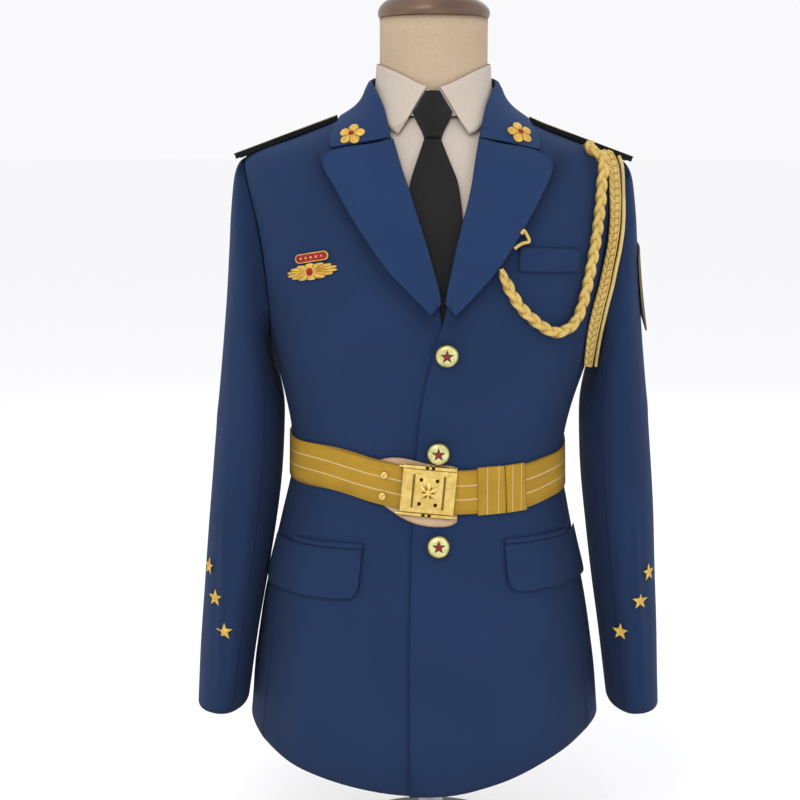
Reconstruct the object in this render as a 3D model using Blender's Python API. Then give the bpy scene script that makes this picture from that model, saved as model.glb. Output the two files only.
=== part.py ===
"""Honor guard uniform on a limbless dress form: jacket, shirt, tie, belt and trim, in metres, +Z up.

The wearer faces -Y, and +X is the wearer's left. The origin is the middle of the base's underside.
Cloth is laid out on one body shape: a point is an angle round the body in degrees (0 in front,
+90 at the wearer's left side, 180 behind), a height, and a distance out from the jacket's face.
"""

import bpy
import numpy as np

# Cloth and seams
SEAM = 0.0003            # gap between neighbouring pieces
JACKET_CLOTH = 0.0020    # jacket cloth with its interlining
SHIRT_CLOTH = 0.0010

# Layers under the jacket's outer face
LEAF_DEPTH = -0.0030     # outer face of the shirt's collar leaf and of the tie
SHIRT_DEPTH = -0.0052    # outer face of the shirt
STAND_DEPTH = -0.0057    # outer face of its collar stand
FORM_DEPTH = -0.0078     # face of the dress form's neck
FORM_UNDER = 0.0098      # deeper below the neck
FORM_HOLLOW = 0.0035     # deeper still where the neck meets the shoulders

# Things lying on the jacket
TRIM_LIFT = 0.0010       # space under trim and badges
FLAP_CLOTH = 0.0020
WEBBING = 0.0020         # thickness of the belt
STRAP_LIFT = 0.0015      # space under the belt
LEATHER = 0.0014

# Stand
BASE_RADIUS = 0.140
BASE_HEIGHT = 0.018
POLE_RADIUS = 0.016
FORM_BOTTOM = 0.225
NECK_TOP = 1.072
CAP_HEIGHT = 0.031

# Jacket body sections, outer face of the cloth
# height, middle, half width, front depth, back depth, squareness
BODY = [
    (0.150, -0.0090, 0.2250, 0.1520, 0.1300, 2.20),
    (0.210, -0.0090, 0.2205, 0.1505, 0.1310, 2.20),
    (0.300, -0.0080, 0.2095, 0.1460, 0.1300, 2.20),
    (0.400, -0.0090, 0.1950, 0.1380, 0.1230, 2.25),
    (0.470, -0.0075, 0.1810, 0.1300, 0.1110, 2.25),
    (0.545, -0.0060, 0.1665, 0.1235, 0.1000, 2.25),
    (0.600, -0.0040, 0.1730, 0.1265, 0.1030, 2.30),
    (0.650, -0.0020, 0.1865, 0.1330, 0.1090, 2.40),
    (0.700, 0.0000, 0.1995, 0.1395, 0.1160, 2.50),
    (0.740, 0.0000, 0.2070, 0.1415, 0.1210, 2.50),
    (0.800, 0.0000, 0.2140, 0.1380, 0.1250, 2.50),
    (0.860, 0.0000, 0.2215, 0.1255, 0.1220, 2.50),
    (0.887, 0.0000, 0.2260, 0.1160, 0.1150, 2.45),
    (0.901, 0.0000, 0.2275, 0.1090, 0.1100, 2.35),
    (0.911, 0.0000, 0.2255, 0.1040, 0.1050, 2.25),
    (0.918, 0.0000, 0.2130, 0.1005, 0.1010, 2.20),
    (0.9315, 0.0000, 0.1740, 0.0925, 0.0935, 2.10),
    (0.945, 0.0000, 0.1380, 0.0860, 0.0870, 2.00),
    (0.9565, 0.0000, 0.1080, 0.0805, 0.0805, 2.00),
    (0.966, 0.0000, 0.0900, 0.0760, 0.0755, 2.00),
    (0.980, 0.0000, 0.0775, 0.0730, 0.0735, 2.00),
    (1.000, 0.0000, 0.0725, 0.0715, 0.0725, 2.00),
    (1.090, 0.0000, 0.0725, 0.0715, 0.0725, 2.00),
]
MIDDLE, HALF, FRONT, BACK, SQUARE = 1, 2, 3, 4, 5

# Soft folds standing out of the body cloth
# angle at the top, angle at the bottom, half width in degrees, lowest, highest, height of the fold
FOLDS = [
    (-50, -58, 11, 0.560, 0.700, 0.0040),
    (46, 60, 11, 0.560, 0.690, 0.0035),
    (-38, -44, 12, 0.150, 0.520, 0.0030),
    (33, 40, 11, 0.150, 0.500, 0.0028),
    (78, 74, 12, 0.150, 0.460, 0.0035),
    (-98, -98, 12, 0.150, 0.460, 0.0030),
    (128, 122, 12, 0.150, 0.520, 0.0040),
    (-132, -126, 12, 0.150, 0.500, 0.0040),
    (160, 166, 11, 0.560, 0.740, 0.0035),
    (-158, -166, 11, 0.560, 0.760, 0.0035),
]

# The wearer's left shoulder sits a little lower
SHOULDER_DROP = 0.0035

# Hem: lowest in front, higher at the sides and behind
HEM_FRONT = 0.1560
HEM_SIDE = 0.2060
# angle on the wearer's left, how much higher the hem hangs there
HEM_LIFT = [(0, 0.0), (8, 0.0005), (25, 0.0050), (42, 0.0130), (60, 0.0130), (90, 0.0080), (120, 0.0), (180, 0.0)]

# Seams of the body: angle at the hem and at the armhole
FRONT_SEAM = (63.0, 68.0)
BACK_SEAM = (114.0, 110.0)

# Armhole on the body: share of the way round, angle, height
ARMHOLE = [
    (0.0000, 90.0, 0.9120),
    (0.0600, 80.5, 0.9010),
    (0.1250, 72.0, 0.8730),
    (0.1900, 66.5, 0.8350),
    (0.2500, 64.0, 0.7900),
    (0.3150, 64.0, 0.7440),
    (0.3750, 68.0, 0.7130),
    (0.5000, 89.0, 0.6960),
    (0.6250, 110.0, 0.7180),
    (0.6900, 113.5, 0.7560),
    (0.7500, 114.0, 0.8000),
    (0.8200, 111.0, 0.8440),
    (0.8800, 106.0, 0.8750),
    (0.9400, 99.0, 0.9010),
    (1.0000, 90.0, 0.9120),
]
ARMHOLE_POINTS = 24
FRONT_STOP = 9           # armhole points on the front, counted from the shoulder
BACK_START = 15          # first armhole point on the back

# Front edges and the roll of the lapels: height, place across
EDGE_LEFT = [(0.150, -0.0290), (0.353, -0.0290), (0.480, -0.0260), (0.586, -0.0200),
             (0.624, -0.0170), (0.690, -0.0030), (0.728, 0.0060)]
EDGE_RIGHT = [(0.150, 0.0200), (0.660, 0.0220), (0.728, 0.0080)]
# height, middle, roll line from the middle, outer edge of the lapel from the middle
LAPEL = [
    (0.728, 0.0085, 0.0015, 0.0060),
    (0.757, 0.0090, 0.0050, 0.0340),
    (0.785, 0.0080, 0.0120, 0.0610),
    (0.815, 0.0070, 0.0195, 0.0820),
    (0.845, 0.0060, 0.0285, 0.1010),
    (0.875, 0.0050, 0.0370, 0.1180),
    (0.908, 0.0020, 0.0455, 0.1360),
    (0.937, 0.0010, 0.0520, 0.1180),
    (0.965, 0.0000, 0.0587, 0.1160),
]
LAPEL_MIDDLE, LAPEL_ROLL, LAPEL_EDGE = 1, 2, 3
BREAK_HEIGHT = 0.748     # where the lapels begin to turn
GORGE_HEIGHT = 0.930     # seam of collar and lapel, at the roll line
PEAK_HEIGHT = 0.908
NECK_SEAM_SIDE = 0.9750
NECK_SEAM_BACK = 0.9720
FRONT_LAP = 0.0032       # how far the left front stands out where it laps over the right one

# Collar, from the gorge round to the middle of the back
# angle of the fold, its height, angle of the outer edge, its height, share of the standing profile
COLLAR = [
    (16.8, 0.9305, 34.1, 0.9205, 0.0),
    (25.0, 0.9480, 39.5, 0.9275, 0.1),
    (39.0, 0.9650, 47.0, 0.9360, 0.3),
    (55.0, 0.9800, 57.0, 0.9465, 0.7),
    (70.0, 0.9910, 71.0, 0.9530, 1.0),
    (90.0, 1.0000, 90.0, 0.9570, 1.0),
    (135.0, 1.0040, 134.0, 0.9520, 1.0),
    (180.0, 1.0050, 180.0, 0.9470, 1.0),
]
# Turned edge of a lapel: distance past the roll line, rise; then shares of the width, rise
TURN_FLAT = [(0.0006, 0.0006), (0.0026, 0.0022), (0.0022, 0.0046), (-0.0006, 0.0060), (-0.0060, 0.0058)]
TURN_STAND = [(-0.0240, 0.0004), (-0.0040, 0.0004), (0.0026, 0.0022), (0.0010, 0.0056), (-0.0050, 0.0078)]
LEAF_RISE = [(0.25, 0.0052, 0.0092), (0.50, 0.0044, 0.0082), (0.78, 0.0038, 0.0062), (1.00, 0.0036, 0.0050)]

# Sleeve rings, the wearer's left arm
# outer point across, its height, inner point across, its height, middle front to back, half depth
SLEEVE = [
    (0.2260, 0.9120, 0.1990, 0.6960, 0.0000, 0.0640),
    (0.2345, 0.9070, 0.2000, 0.6890, 0.0000, 0.0690),
    (0.2400, 0.8895, 0.1990, 0.6820, 0.0000, 0.0740),
    (0.2430, 0.8540, 0.1972, 0.6740, -0.0010, 0.0785),
    (0.2460, 0.8080, 0.1952, 0.6650, -0.0020, 0.0800),
    (0.2495, 0.7580, 0.1928, 0.6540, -0.0030, 0.0800),
    (0.2545, 0.7040, 0.1888, 0.6380, -0.0030, 0.0790),
    (0.2610, 0.6460, 0.1825, 0.6120, -0.0030, 0.0770),
    (0.2675, 0.5880, 0.1835, 0.5760, -0.0030, 0.0750),
    (0.2730, 0.5300, 0.1860, 0.5240, -0.0050, 0.0730),
    (0.2775, 0.4640, 0.1930, 0.4600, -0.0080, 0.0705),
    (0.2813, 0.3960, 0.2020, 0.3940, -0.0125, 0.0680),
    (0.2848, 0.3200, 0.2135, 0.3190, -0.0175, 0.0658),
    (0.2885, 0.2360, 0.2250, 0.2330, -0.0230, 0.0640),
]
SLEEVE_SWAY_TOP = 0.560  # height from which an arm swings out towards its cuff
SLEEVE_SWAY = {1: -0.0010, -1: 0.0080}
SLEEVE_SEAMS = (8, 17)   # armhole points where the under sleeve begins and ends
CREASE_POINT = 7         # ring point of the soft pressed crease down the sleeve's front
CREASE_RISE = 0.0030

# Shirt
SHIRT_HEM = 0.300
SHIRT_MIDDLE = -0.0030   # where its two fronts meet, hidden by the tie
SHIRT_ROWS = np.array([0.0, 0.18, 0.36, 0.52, 0.66, 0.82])
SHIRT_COLUMNS = 8
SHIRT_STOPS = np.arange(12, -1, -2)
SHIRT_BACK_STOPS = np.arange(12, 25, 2)
# angle, height of the neck seam
SHIRT_NECK = [(0, 0.9580), (45, 0.9635), (90, 0.9680), (180, 0.9700)]
# angle, height of the fold along the collar's top
SHIRT_FOLD = [(0, 0.9905), (12, 0.9935), (30, 1.0030), (55, 1.0135), (90, 1.0195), (180, 1.0220)]
# angle, height of the leaf's lower edge
LEAF_EDGE = [(16, 0.9390), (24, 0.9475), (34, 0.9565), (50, 0.9690), (75, 0.9770), (90, 0.9795), (135, 0.9830),
             (180, 0.9850)]
LEAF_MIDDLE = -0.0018
LEAF_POINT = (0.0415, 0.9390)    # from that middle, height
LEAF_TOP = (0.0075, 0.9915)

# Tie
TIE_MIDDLE = -0.0025
# height, half width, thickness in the middle
KNOT = [
    (0.9335, 0.0100, 0.0095),
    (0.9400, 0.0116, 0.0105),
    (0.9480, 0.0160, 0.0110),
    (0.9565, 0.0208, 0.0108),
    (0.9640, 0.0238, 0.0100),
    (0.9720, 0.0184, 0.0085),
    (0.9800, 0.0132, 0.0068),
    (0.9870, 0.0088, 0.0050),
]
# height, middle, half width
BLADE = [
    (0.6900, 0.0040, 0.0372),
    (0.7300, 0.0035, 0.0360),
    (0.7700, 0.0025, 0.0347),
    (0.8100, 0.0012, 0.0328),
    (0.8450, 0.0000, 0.0308),
    (0.8680, -0.0010, 0.0295),
    (0.8860, -0.0015, 0.0275),
    (0.9000, -0.0020, 0.0222),
    (0.9150, -0.0025, 0.0165),
    (0.9325, -0.0028, 0.0102),
]
BLADE_CLOTH = 0.0014

# Pocket flaps: inner angle, outer angle, then heights of the top's two ends and of the bottom's two ends
FLAPS = {
    -1: (23.7, 76.5, 0.4566, 0.4503, 0.3965, 0.3903),
    1: (28.7, 84.0, 0.4613, 0.4565, 0.4040, 0.3990),
}
FLAP_CORNER = 0.014
FLAP_WIDTH = 0.155
JET_SHARE = 0.62         # how much of the flap's width shows a jet above it
JET_WIDTH = 0.0055
# place across and height of the breast welt's corners: bottom inner, bottom outer, top inner, top outer
WELT = [(0.0940, 0.7850), (0.1636, 0.7818), (0.0955, 0.8125), (0.1668, 0.8080)]

# Buttons: name, place across, height
BUTTONS = [("button_top", 0.0134, 0.6924), ("button_middle", 0.0047, 0.5750), ("button_bottom", 0.0051, 0.4634)]
BUTTON_RADIUS = 0.0125
BUTTON_LIFT = 0.0005

# Belt: angle, height of its middle
BELT = [
    (-180.0, 0.5480),
    (-120.0, 0.5500),
    (-80.0, 0.5490),
    (-42.0, 0.5500),
    (-19.5, 0.5380),
    (0.0, 0.5285),
    (20.0, 0.5264),
    (39.0, 0.5274),
    (52.0, 0.5330),
    (70.6, 0.5365),
    (120.0, 0.5450),
    (180.0, 0.5480),
]
BELT_WIDTH = 0.0530
BELT_ANGLES = [8, 13, 19, 25, 31, 37, 43, 49, 56, 63, 71, 81, 91, 101, 110, 119, 128, 137, 147, 158, 169, 180,
               191, 202, 213, 222, 231, 240, 249, 258, 268, 279, 290, 298, 305, 312, 319, 326, 332, 337, 341, 345,
               350]
OVER_TAB = 0.0018        # extra lift of the belt where the leather tab lies under it
KEEPERS = [("belt_keeper_inner", 19.0, 30.3), ("belt_keeper_outer", 30.8, 39.8)]
# place across, bottom, top of the leather tab behind the buckle
TAB = [
    (-0.0660, 0.5140, 0.5630),
    (-0.0540, 0.5065, 0.5675),
    (-0.0400, 0.4970, 0.5685),
    (-0.0250, 0.4900, 0.5660),
    (-0.0100, 0.4862, 0.5610),
    (0.0060, 0.4852, 0.5600),
    (0.0190, 0.4862, 0.5590),
    (0.0262, 0.4910, 0.5560),
]
PLATE_PLACE = (-0.0055, 0.5285)
PLATE_HALF = (0.0320, 0.0315)
PLATE_TILT = 5.3
# share across the buckle plate, thickness there
PLATE_RELIEF = [(-1.0, 0.0018), (-0.96, 0.0024), (-0.80, 0.0024), (-0.77, 0.0013), (-0.69, 0.0013), (-0.66, 0.0019),
                (0.0, 0.0019), (0.66, 0.0019), (0.69, 0.0013), (0.77, 0.0013), (0.80, 0.0024), (0.96, 0.0024),
                (1.0, 0.0018)]
# name, angle, share up the belt
RIVETS = [("rivet_upper", -17.4, 0.70), ("rivet_lower", -17.8, 0.21)]

# Shoulder boards: place across, half width front to back
BOARD = [(0.1140, 0.0110), (0.1180, 0.0170), (0.1270, 0.0215), (0.1500, 0.0240), (0.2000, 0.0255), (0.2350, 0.0260)]
BOARD_START = (0.1140, 0.9557)
BOARD_SLOPE = -0.3690
BOARD_THICK = 0.0048

# Three stars on each cuff: place along the sleeve's rings, place round them
CUFF_STARS = {
    -1: [(11.73, 5.86), (11.20, 4.37), (10.70, 2.94)],
    1: [(11.73, 7.40), (11.23, 5.17), (10.77, 3.79)],
}
STAR_RADIUS = 0.0108
STAR_LIFT = 0.0011

# Arm patch: share up from its point, half width round the sleeve in ring points, lift
PATCH = [(0.0, 0.15, 0.0050), (0.06, 0.75, 0.0046), (0.16, 1.25, 0.0040), (0.32, 1.70, 0.0031), (0.55, 1.78, 0.0020),
         (0.80, 1.78, 0.0013), (1.0, 1.78, 0.0011)]
PATCH_RINGS = (6.02, 3.98)
PATCH_POINT = 0.75

# Collar devices: place on the collar, direction out of it, space under the device
DEVICES = {
    -1: ((-0.0950, -0.0802, 0.9366), (-0.245, -0.686, 0.685), 0.0010),
    1: ((0.0972, -0.0769, 0.9377), (0.324, -0.673, 0.665), 0.0019),
}
DEVICE_RADIUS = 0.0155

# Breast badge: place across and height of its spray and of its bar, tilt in degrees
BADGE_SPRAY = (-0.1415, 0.7835)
BADGE_BAR = (-0.1405, 0.8000)
BADGE_TILT = -10.0

# Routes of the cords, from the shoulder down
PLAIT_RADIUS = 0.0062
PLAIT = [
    (0.1808, -0.0456, 0.9266),
    (0.1831, -0.0602, 0.9194),
    (0.1926, -0.0692, 0.9128),
    (0.1950, -0.0752, 0.9010),
    (0.1928, -0.0807, 0.8834),
    (0.1913, -0.0866, 0.8631),
    (0.1894, -0.0898, 0.8450),
    (0.1869, -0.0933, 0.8246),
    (0.1835, -0.0969, 0.8042),
    (0.1796, -0.1000, 0.7826),
    (0.1751, -0.1029, 0.7610),
    (0.1695, -0.1062, 0.7405),
    (0.1630, -0.1102, 0.7259),
    (0.1509, -0.1168, 0.7164),
    (0.1375, -0.1240, 0.7145),
    (0.1230, -0.1306, 0.7218),
    (0.1098, -0.1360, 0.7323),
    (0.0968, -0.1395, 0.7451),
    (0.0868, -0.1418, 0.7602),
    (0.0792, -0.1424, 0.7749),
    (0.0765, -0.1440, 0.7805),
]
EDGE_CORD_RADIUS = 0.0021
EDGE_CORD = [
    (0.2180, -0.0362, 0.9120),
    (0.2212, -0.0398, 0.9030),
    (0.2228, -0.0406, 0.8899),
    (0.2232, -0.0455, 0.8703),
    (0.2225, -0.0577, 0.8500),
    (0.2209, -0.0665, 0.8296),
    (0.2176, -0.0729, 0.8079),
    (0.2131, -0.0759, 0.7849),
    (0.2091, -0.0762, 0.7626),
    (0.2043, -0.0742, 0.7398),
    (0.2000, -0.0690, 0.7153),
    (0.1968, -0.0610, 0.6889),
    (0.1945, -0.0570, 0.6640),
]
LOOP_RADIUS = 0.0018
LOOP = [
    (0.0965, -0.1330, 0.8275),
    (0.0990, -0.1318, 0.8312),
    (0.1030, -0.1290, 0.8262),
    (0.1057, -0.1284, 0.8190),
    (0.0985, -0.1312, 0.8170),
    (0.0925, -0.1336, 0.8138),
    (0.0890, -0.1352, 0.8112),
]
# inner edge and outer edge of the flat braid: place across, front to back, height, for each
BRAID = [
    (0.1977, -0.0355, 0.9190, 0.2110, -0.0345, 0.9168),
    (0.1989, -0.0479, 0.9134, 0.2135, -0.0395, 0.9112),
    (0.2012, -0.0590, 0.9033, 0.2163, -0.0440, 0.9026),
    (0.2025, -0.0648, 0.8908, 0.2180, -0.0470, 0.8902),
    (0.2038, -0.0672, 0.8713, 0.2195, -0.0490, 0.8702),
    (0.2048, -0.0675, 0.8505, 0.2192, -0.0566, 0.8499),
    (0.2044, -0.0680, 0.8295, 0.2177, -0.0645, 0.8294),
    (0.2020, -0.0700, 0.8075, 0.2145, -0.0704, 0.8077),
    (0.1973, -0.0735, 0.7845, 0.2100, -0.0740, 0.7846),
    (0.1925, -0.0776, 0.7627, 0.2060, -0.0748, 0.7623),
    (0.1865, -0.0824, 0.7410, 0.2008, -0.0742, 0.7395),
    (0.1817, -0.0832, 0.7175, 0.1962, -0.0715, 0.7150),
    (0.1795, -0.0775, 0.6927, 0.1925, -0.0660, 0.6890),
    (0.1790, -0.0690, 0.6662, 0.1895, -0.0600, 0.6640),
]
BRAID_THICK = 0.0024

JACKET_BLUE = (0.035, 0.085, 0.215)
CORD_GOLD = (0.72, 0.47, 0.13)
SHIRT_WHITE = (0.86, 0.86, 0.85)
TIE_BLACK = (0.012, 0.012, 0.014)
BOARD_BLACK = (0.010, 0.010, 0.012)
METAL_GOLD = (0.80, 0.55, 0.20)
BELT_GOLD = (0.60, 0.34, 0.03)
TAN_LEATHER = (0.55, 0.36, 0.24)
LINEN = (0.62, 0.50, 0.37)
DARK_WOOD = (0.16, 0.075, 0.035)


# Curves and vectors
def curve(rows, column, at, closed=False):
    """Value of a table's column: a cubic through its rows, level where the column turns."""
    table = np.array(rows, dtype=float)
    place = table[:, 0]
    value = table[:, column]
    step = np.diff(place)
    rise = np.diff(value) / step
    before = rise[:-1]
    after = rise[1:]
    same = before * after > 0
    total = np.where(same, before + after, 1.0)
    slope = np.zeros(len(place))
    slope[1:-1] = np.where(same, 2 * before * after / total, 0.0)
    if closed:
        slope[0] = slope[-1] = (rise[0] + rise[-1]) / 2
    else:
        slope[0] = rise[0]
        slope[-1] = rise[-1]
    at = np.clip(at, place[0], place[-1])
    row = np.clip(np.searchsorted(place, at, side="right") - 1, 0, len(step) - 1)
    share = (at - place[row]) / step[row]
    start = (1 + 2 * share) * (1 - share) ** 2 * value[row]
    start_slope = share * (1 - share) ** 2 * step[row] * slope[row]
    end = share ** 2 * (3 - 2 * share) * value[row + 1]
    end_slope = share ** 2 * (share - 1) * step[row] * slope[row + 1]
    return start + start_slope + end + end_slope


def unit(vectors):
    """Vectors of length one."""
    length = np.linalg.norm(vectors, axis=-1, keepdims=True)
    return vectors / np.maximum(length, 1e-12)


def mix(first, second, share):
    """Straight line between two arrays."""
    return first + (second - first) * share


def smooth_step(value):
    """Soft ramp from 0 to 1."""
    value = np.clip(value, 0.0, 1.0)
    return value * value * (3 - 2 * value)


# Body shape
def folds(angle, height):
    """Height of the soft folds at a place on the body."""
    rise = np.zeros(np.shape(angle))
    for top, bottom, width, lowest, highest, tall in FOLDS:
        share = (height - lowest) / (highest - lowest)
        middle = mix(bottom, top, share)
        away = (angle - middle + 180.0) % 360.0 - 180.0
        along = smooth_step((height - lowest + 0.06) / 0.06) * smooth_step((highest - height) / 0.10)
        rise = rise + tall * along * np.exp(-(away / width) ** 2)
    return rise


def settle(points):
    """Lower the wearer's left shoulder."""
    drop = smooth_step((points[..., 0] - 0.085) / 0.050) * smooth_step((points[..., 2] - 0.820) / 0.080)
    lower = np.stack([0 * drop, 0 * drop, -SHOULDER_DROP * drop], axis=-1)
    return points + lower


def section(angle, height, folded):
    """Point on a rounded oblong ring of the body."""
    turn = np.radians(angle)
    across = np.sin(turn)
    ahead = np.cos(turn)
    power = curve(BODY, SQUARE, height)
    size = (np.abs(across) ** power + np.abs(ahead) ** power) ** (1 / power)
    depth = np.where(ahead > 0, curve(BODY, FRONT, height), curve(BODY, BACK, height))
    x = curve(BODY, HALF, height) * across / size
    y = -depth * ahead / size
    if folded:
        reach = 1 + folds(angle, height) / np.hypot(x, y)
        x = x * reach
        y = y * reach
    return settle(np.stack([x + curve(BODY, MIDDLE, height), y, height + 0 * x], axis=-1))


def body(angle, height, out=0.0, folded=True):
    """Point on the body shape, moved out along its normal."""
    angle, height, out = np.broadcast_arrays(angle, height, out)
    angle = angle.astype(float)
    height = height.astype(float)
    around = section(angle + 0.5, height, folded) - section(angle - 0.5, height, folded)
    upward = section(angle, height + 0.002, folded) - section(angle, height - 0.002, folded)
    normal = unit(np.cross(around, upward))
    return section(angle, height, folded) + out[..., None] * normal


def front_angle(across, height):
    """Angle of the point of the body's front that lies at a place across and a height."""
    across, height = np.broadcast_arrays(across, height)
    low = np.full(across.shape, -90.0)
    high = np.full(across.shape, 90.0)
    for _ in range(30):
        angle = (low + high) / 2
        short = section(angle, height, True)[..., 0] < across
        low = np.where(short, angle, low)
        high = np.where(short, high, angle)
    return (low + high) / 2


def hem(angle):
    """Height of the hem."""
    turn = np.radians(np.minimum(np.abs(angle), 90.0))
    return HEM_FRONT + (HEM_SIDE - HEM_FRONT) * np.sin(turn) ** 2 + curve(HEM_LIFT, 1, angle)


def armhole(share):
    """Angle and height of the armhole's edge at a share of the way round."""
    return curve(ARMHOLE, 1, share, True), curve(ARMHOLE, 2, share, True)


# Meshes
def grid_normals(grid, closed=False):
    """Unit normals of a grid of points, rows up and columns along."""
    if closed:
        along = np.roll(grid, -1, axis=1) - np.roll(grid, 1, axis=1)
    else:
        along = np.gradient(grid, axis=1)
    upward = np.gradient(grid, axis=0)
    return unit(np.cross(along, upward))


def pull_in(grid, sides, gap=SEAM / 2):
    """Move the named sides of a grid towards its middle, to leave the gap of a seam."""
    grid = grid.copy()
    first = grid.copy()
    if "left" in sides:
        grid[:, 0] += unit(first[:, 1] - first[:, 0]) * gap
    if "right" in sides:
        grid[:, -1] += unit(first[:, -2] - first[:, -1]) * gap
    if "bottom" in sides:
        grid[0] += unit(first[1] - first[0]) * gap
    if "top" in sides:
        grid[-1] += unit(first[-2] - first[-1]) * gap
    return grid


def finish(data, name, colour, roughness, metallic):
    """Give a mesh or curve its object and its own material."""
    material = bpy.data.materials.new(name + "_finish")
    material.use_nodes = True
    shader = material.node_tree.nodes["Principled BSDF"]
    shader.inputs["Base Color"].default_value = (*colour, 1.0)
    shader.inputs["Roughness"].default_value = roughness
    shader.inputs["Metallic"].default_value = metallic
    material.diffuse_color = (*colour, 1.0)
    data.materials.append(material)
    made = bpy.data.objects.new(name, data)
    bpy.context.scene.collection.objects.link(made)
    return made


def solid(name, points, faces, colour, roughness=0.85, metallic=0.0):
    """Closed mesh from points and faces, turned so that its faces point out."""
    points = np.asarray(points, dtype=float)
    volume = 0.0
    for face in faces:
        for corner in range(1, len(face) - 1):
            first, second, third = points[face[0]], points[face[corner]], points[face[corner + 1]]
            volume += np.dot(first, np.cross(second, third))
    if volume < 0:
        faces = [face[::-1] for face in faces]
    mesh = bpy.data.meshes.new(name)
    mesh.from_pydata(points.tolist(), [], faces)
    mesh.validate()
    mesh.shade_smooth()
    mesh.set_sharp_from_angle(angle=np.radians(40.0))
    return finish(mesh, name, colour, roughness, metallic)


def wall(name, outer, inner, colour, roughness=0.85, metallic=0.0):
    """Thin wall between two grids of the same size, closed round its edge."""
    rows, columns = outer.shape[:2]
    points = np.concatenate([outer.reshape(-1, 3), inner.reshape(-1, 3)])
    back = rows * columns
    faces = []
    for row in range(rows - 1):
        for column in range(columns - 1):
            corner = row * columns + column
            quad = (corner, corner + 1, corner + columns + 1, corner + columns)
            # both sides are cut along the same shorter diagonal, so that the wall keeps its thickness
            first, second, third, fourth = points[list(quad)]
            if np.linalg.norm(first - third) > np.linalg.norm(second - fourth):
                quad = quad[1:] + quad[:1]
            for face in ((quad[0], quad[1], quad[2]), (quad[0], quad[2], quad[3])):
                faces.append(face)
                faces.append(tuple(back + index for index in face[::-1]))
    rim = [column for column in range(columns)]
    rim += [row * columns + columns - 1 for row in range(1, rows)]
    rim += [(rows - 1) * columns + column for column in range(columns - 2, -1, -1)]
    rim += [row * columns for row in range(rows - 2, 0, -1)]
    for here, there in zip(rim, rim[1:] + rim[:1]):
        faces.append((here, back + here, back + there, there))
    return solid(name, points, faces, colour, roughness, metallic)


def lathe(name, profile, sides, colour, roughness=0.6, metallic=0.0, middle=(0.0, 0.0)):
    """Turned solid about a standing axis: profile rows are radius and height, from one pole to the other."""
    turn = np.arange(sides) / sides * 2 * np.pi
    points = []
    rings = []
    for radius, height in profile:
        if radius == 0:
            rings.append([len(points)])
            points.append((middle[0], middle[1], height))
            continue
        rings.append(list(range(len(points), len(points) + sides)))
        points += [(middle[0] + radius * np.cos(a), middle[1] + radius * np.sin(a), height) for a in turn]
    return solid(name, points, bridge(rings), colour, roughness, metallic)


def bridge(rings):
    """Faces between closed rings of points; a ring of one point is a pole."""
    faces = []
    for lower, upper in zip(rings[:-1], rings[1:]):
        count = max(len(lower), len(upper))
        for index in range(count):
            after = (index + 1) % count
            if len(lower) == 1:
                faces.append((lower[0], upper[after], upper[index]))
            elif len(upper) == 1:
                faces.append((lower[index], lower[after], upper[0]))
            else:
                faces.append((lower[index], lower[after], upper[after], upper[index]))
    return faces


# Jacket body
LOW_ROWS = np.array([0.0, 0.11, 0.22, 0.32, 0.42, 0.51, 0.59, 0.66, 0.72, 0.79, 0.86, 0.93])
FRONT_COLUMNS = 10
BACK_COLUMNS = 9


def side_rows(side, side_seam, stops):
    """Angles and heights up a panel's outer boundary: the side seam, then the armhole."""
    angle = mix(side_seam[0], side_seam[1], LOW_ROWS)
    shares = np.array(stops) / ARMHOLE_POINTS
    arm_angle, arm_height = armhole(shares)
    height = mix(hem(side * angle), arm_height[0], LOW_ROWS)
    return np.concatenate([angle, arm_angle]), np.concatenate([height, arm_height])


def front_lap(side, angle, height):
    """Rise of the left front where it laps over the right one."""
    if side < 0:
        return 0.0 * angle
    across = section(angle, height, True)[..., 0]
    return FRONT_LAP * smooth_step((0.062 - across) / 0.030) * smooth_step((0.800 - height) / 0.030)


def front_boundary(side):
    """Angles and heights up the front edge, the roll line and the neck seam."""
    upper_heights = np.array([0.706, 0.730, 0.775, 0.825, 0.875, 0.920, 0.957])
    edge = EDGE_LEFT if side > 0 else EDGE_RIGHT
    low = mix(HEM_FRONT + 0.0005, upper_heights[0], LOW_ROWS)
    across = curve(edge, 1, low)
    rolled = upper_heights[1:]
    roll = curve(LAPEL, LAPEL_MIDDLE, rolled) + side * curve(LAPEL, LAPEL_ROLL, rolled)
    across = np.concatenate([across, curve(edge, 1, upper_heights[:1]), roll])
    height = np.concatenate([low, upper_heights])
    angle = front_angle(across, height)
    neck = np.array([52.0, 71.0, 90.0])
    neck_height = np.array([0.9665, 0.9715, NECK_SEAM_SIDE])
    return np.append(angle, side * neck), np.append(height, neck_height)


def jacket_front(side, name):
    """Front panel from its edge and roll line to the side seam and armhole."""
    edge_angle, edge_height = front_boundary(side)
    seam_angle, seam_height = side_rows(side, FRONT_SEAM, range(FRONT_STOP, -1, -1))
    share = np.linspace(0, 1, FRONT_COLUMNS)[None, :]
    angle = mix(edge_angle[:, None], side * seam_angle[:, None], share)
    height = mix(edge_height[:, None], seam_height[:, None], share)
    height[0] = hem(angle[0])
    rise = front_lap(side, angle, height)
    sides = ("left", "right", "top")
    outer = pull_in(body(angle, height, rise), sides)
    inner = pull_in(body(angle, height, rise - JACKET_CLOTH), sides)
    return wall(name, outer, inner, JACKET_BLUE)


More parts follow.
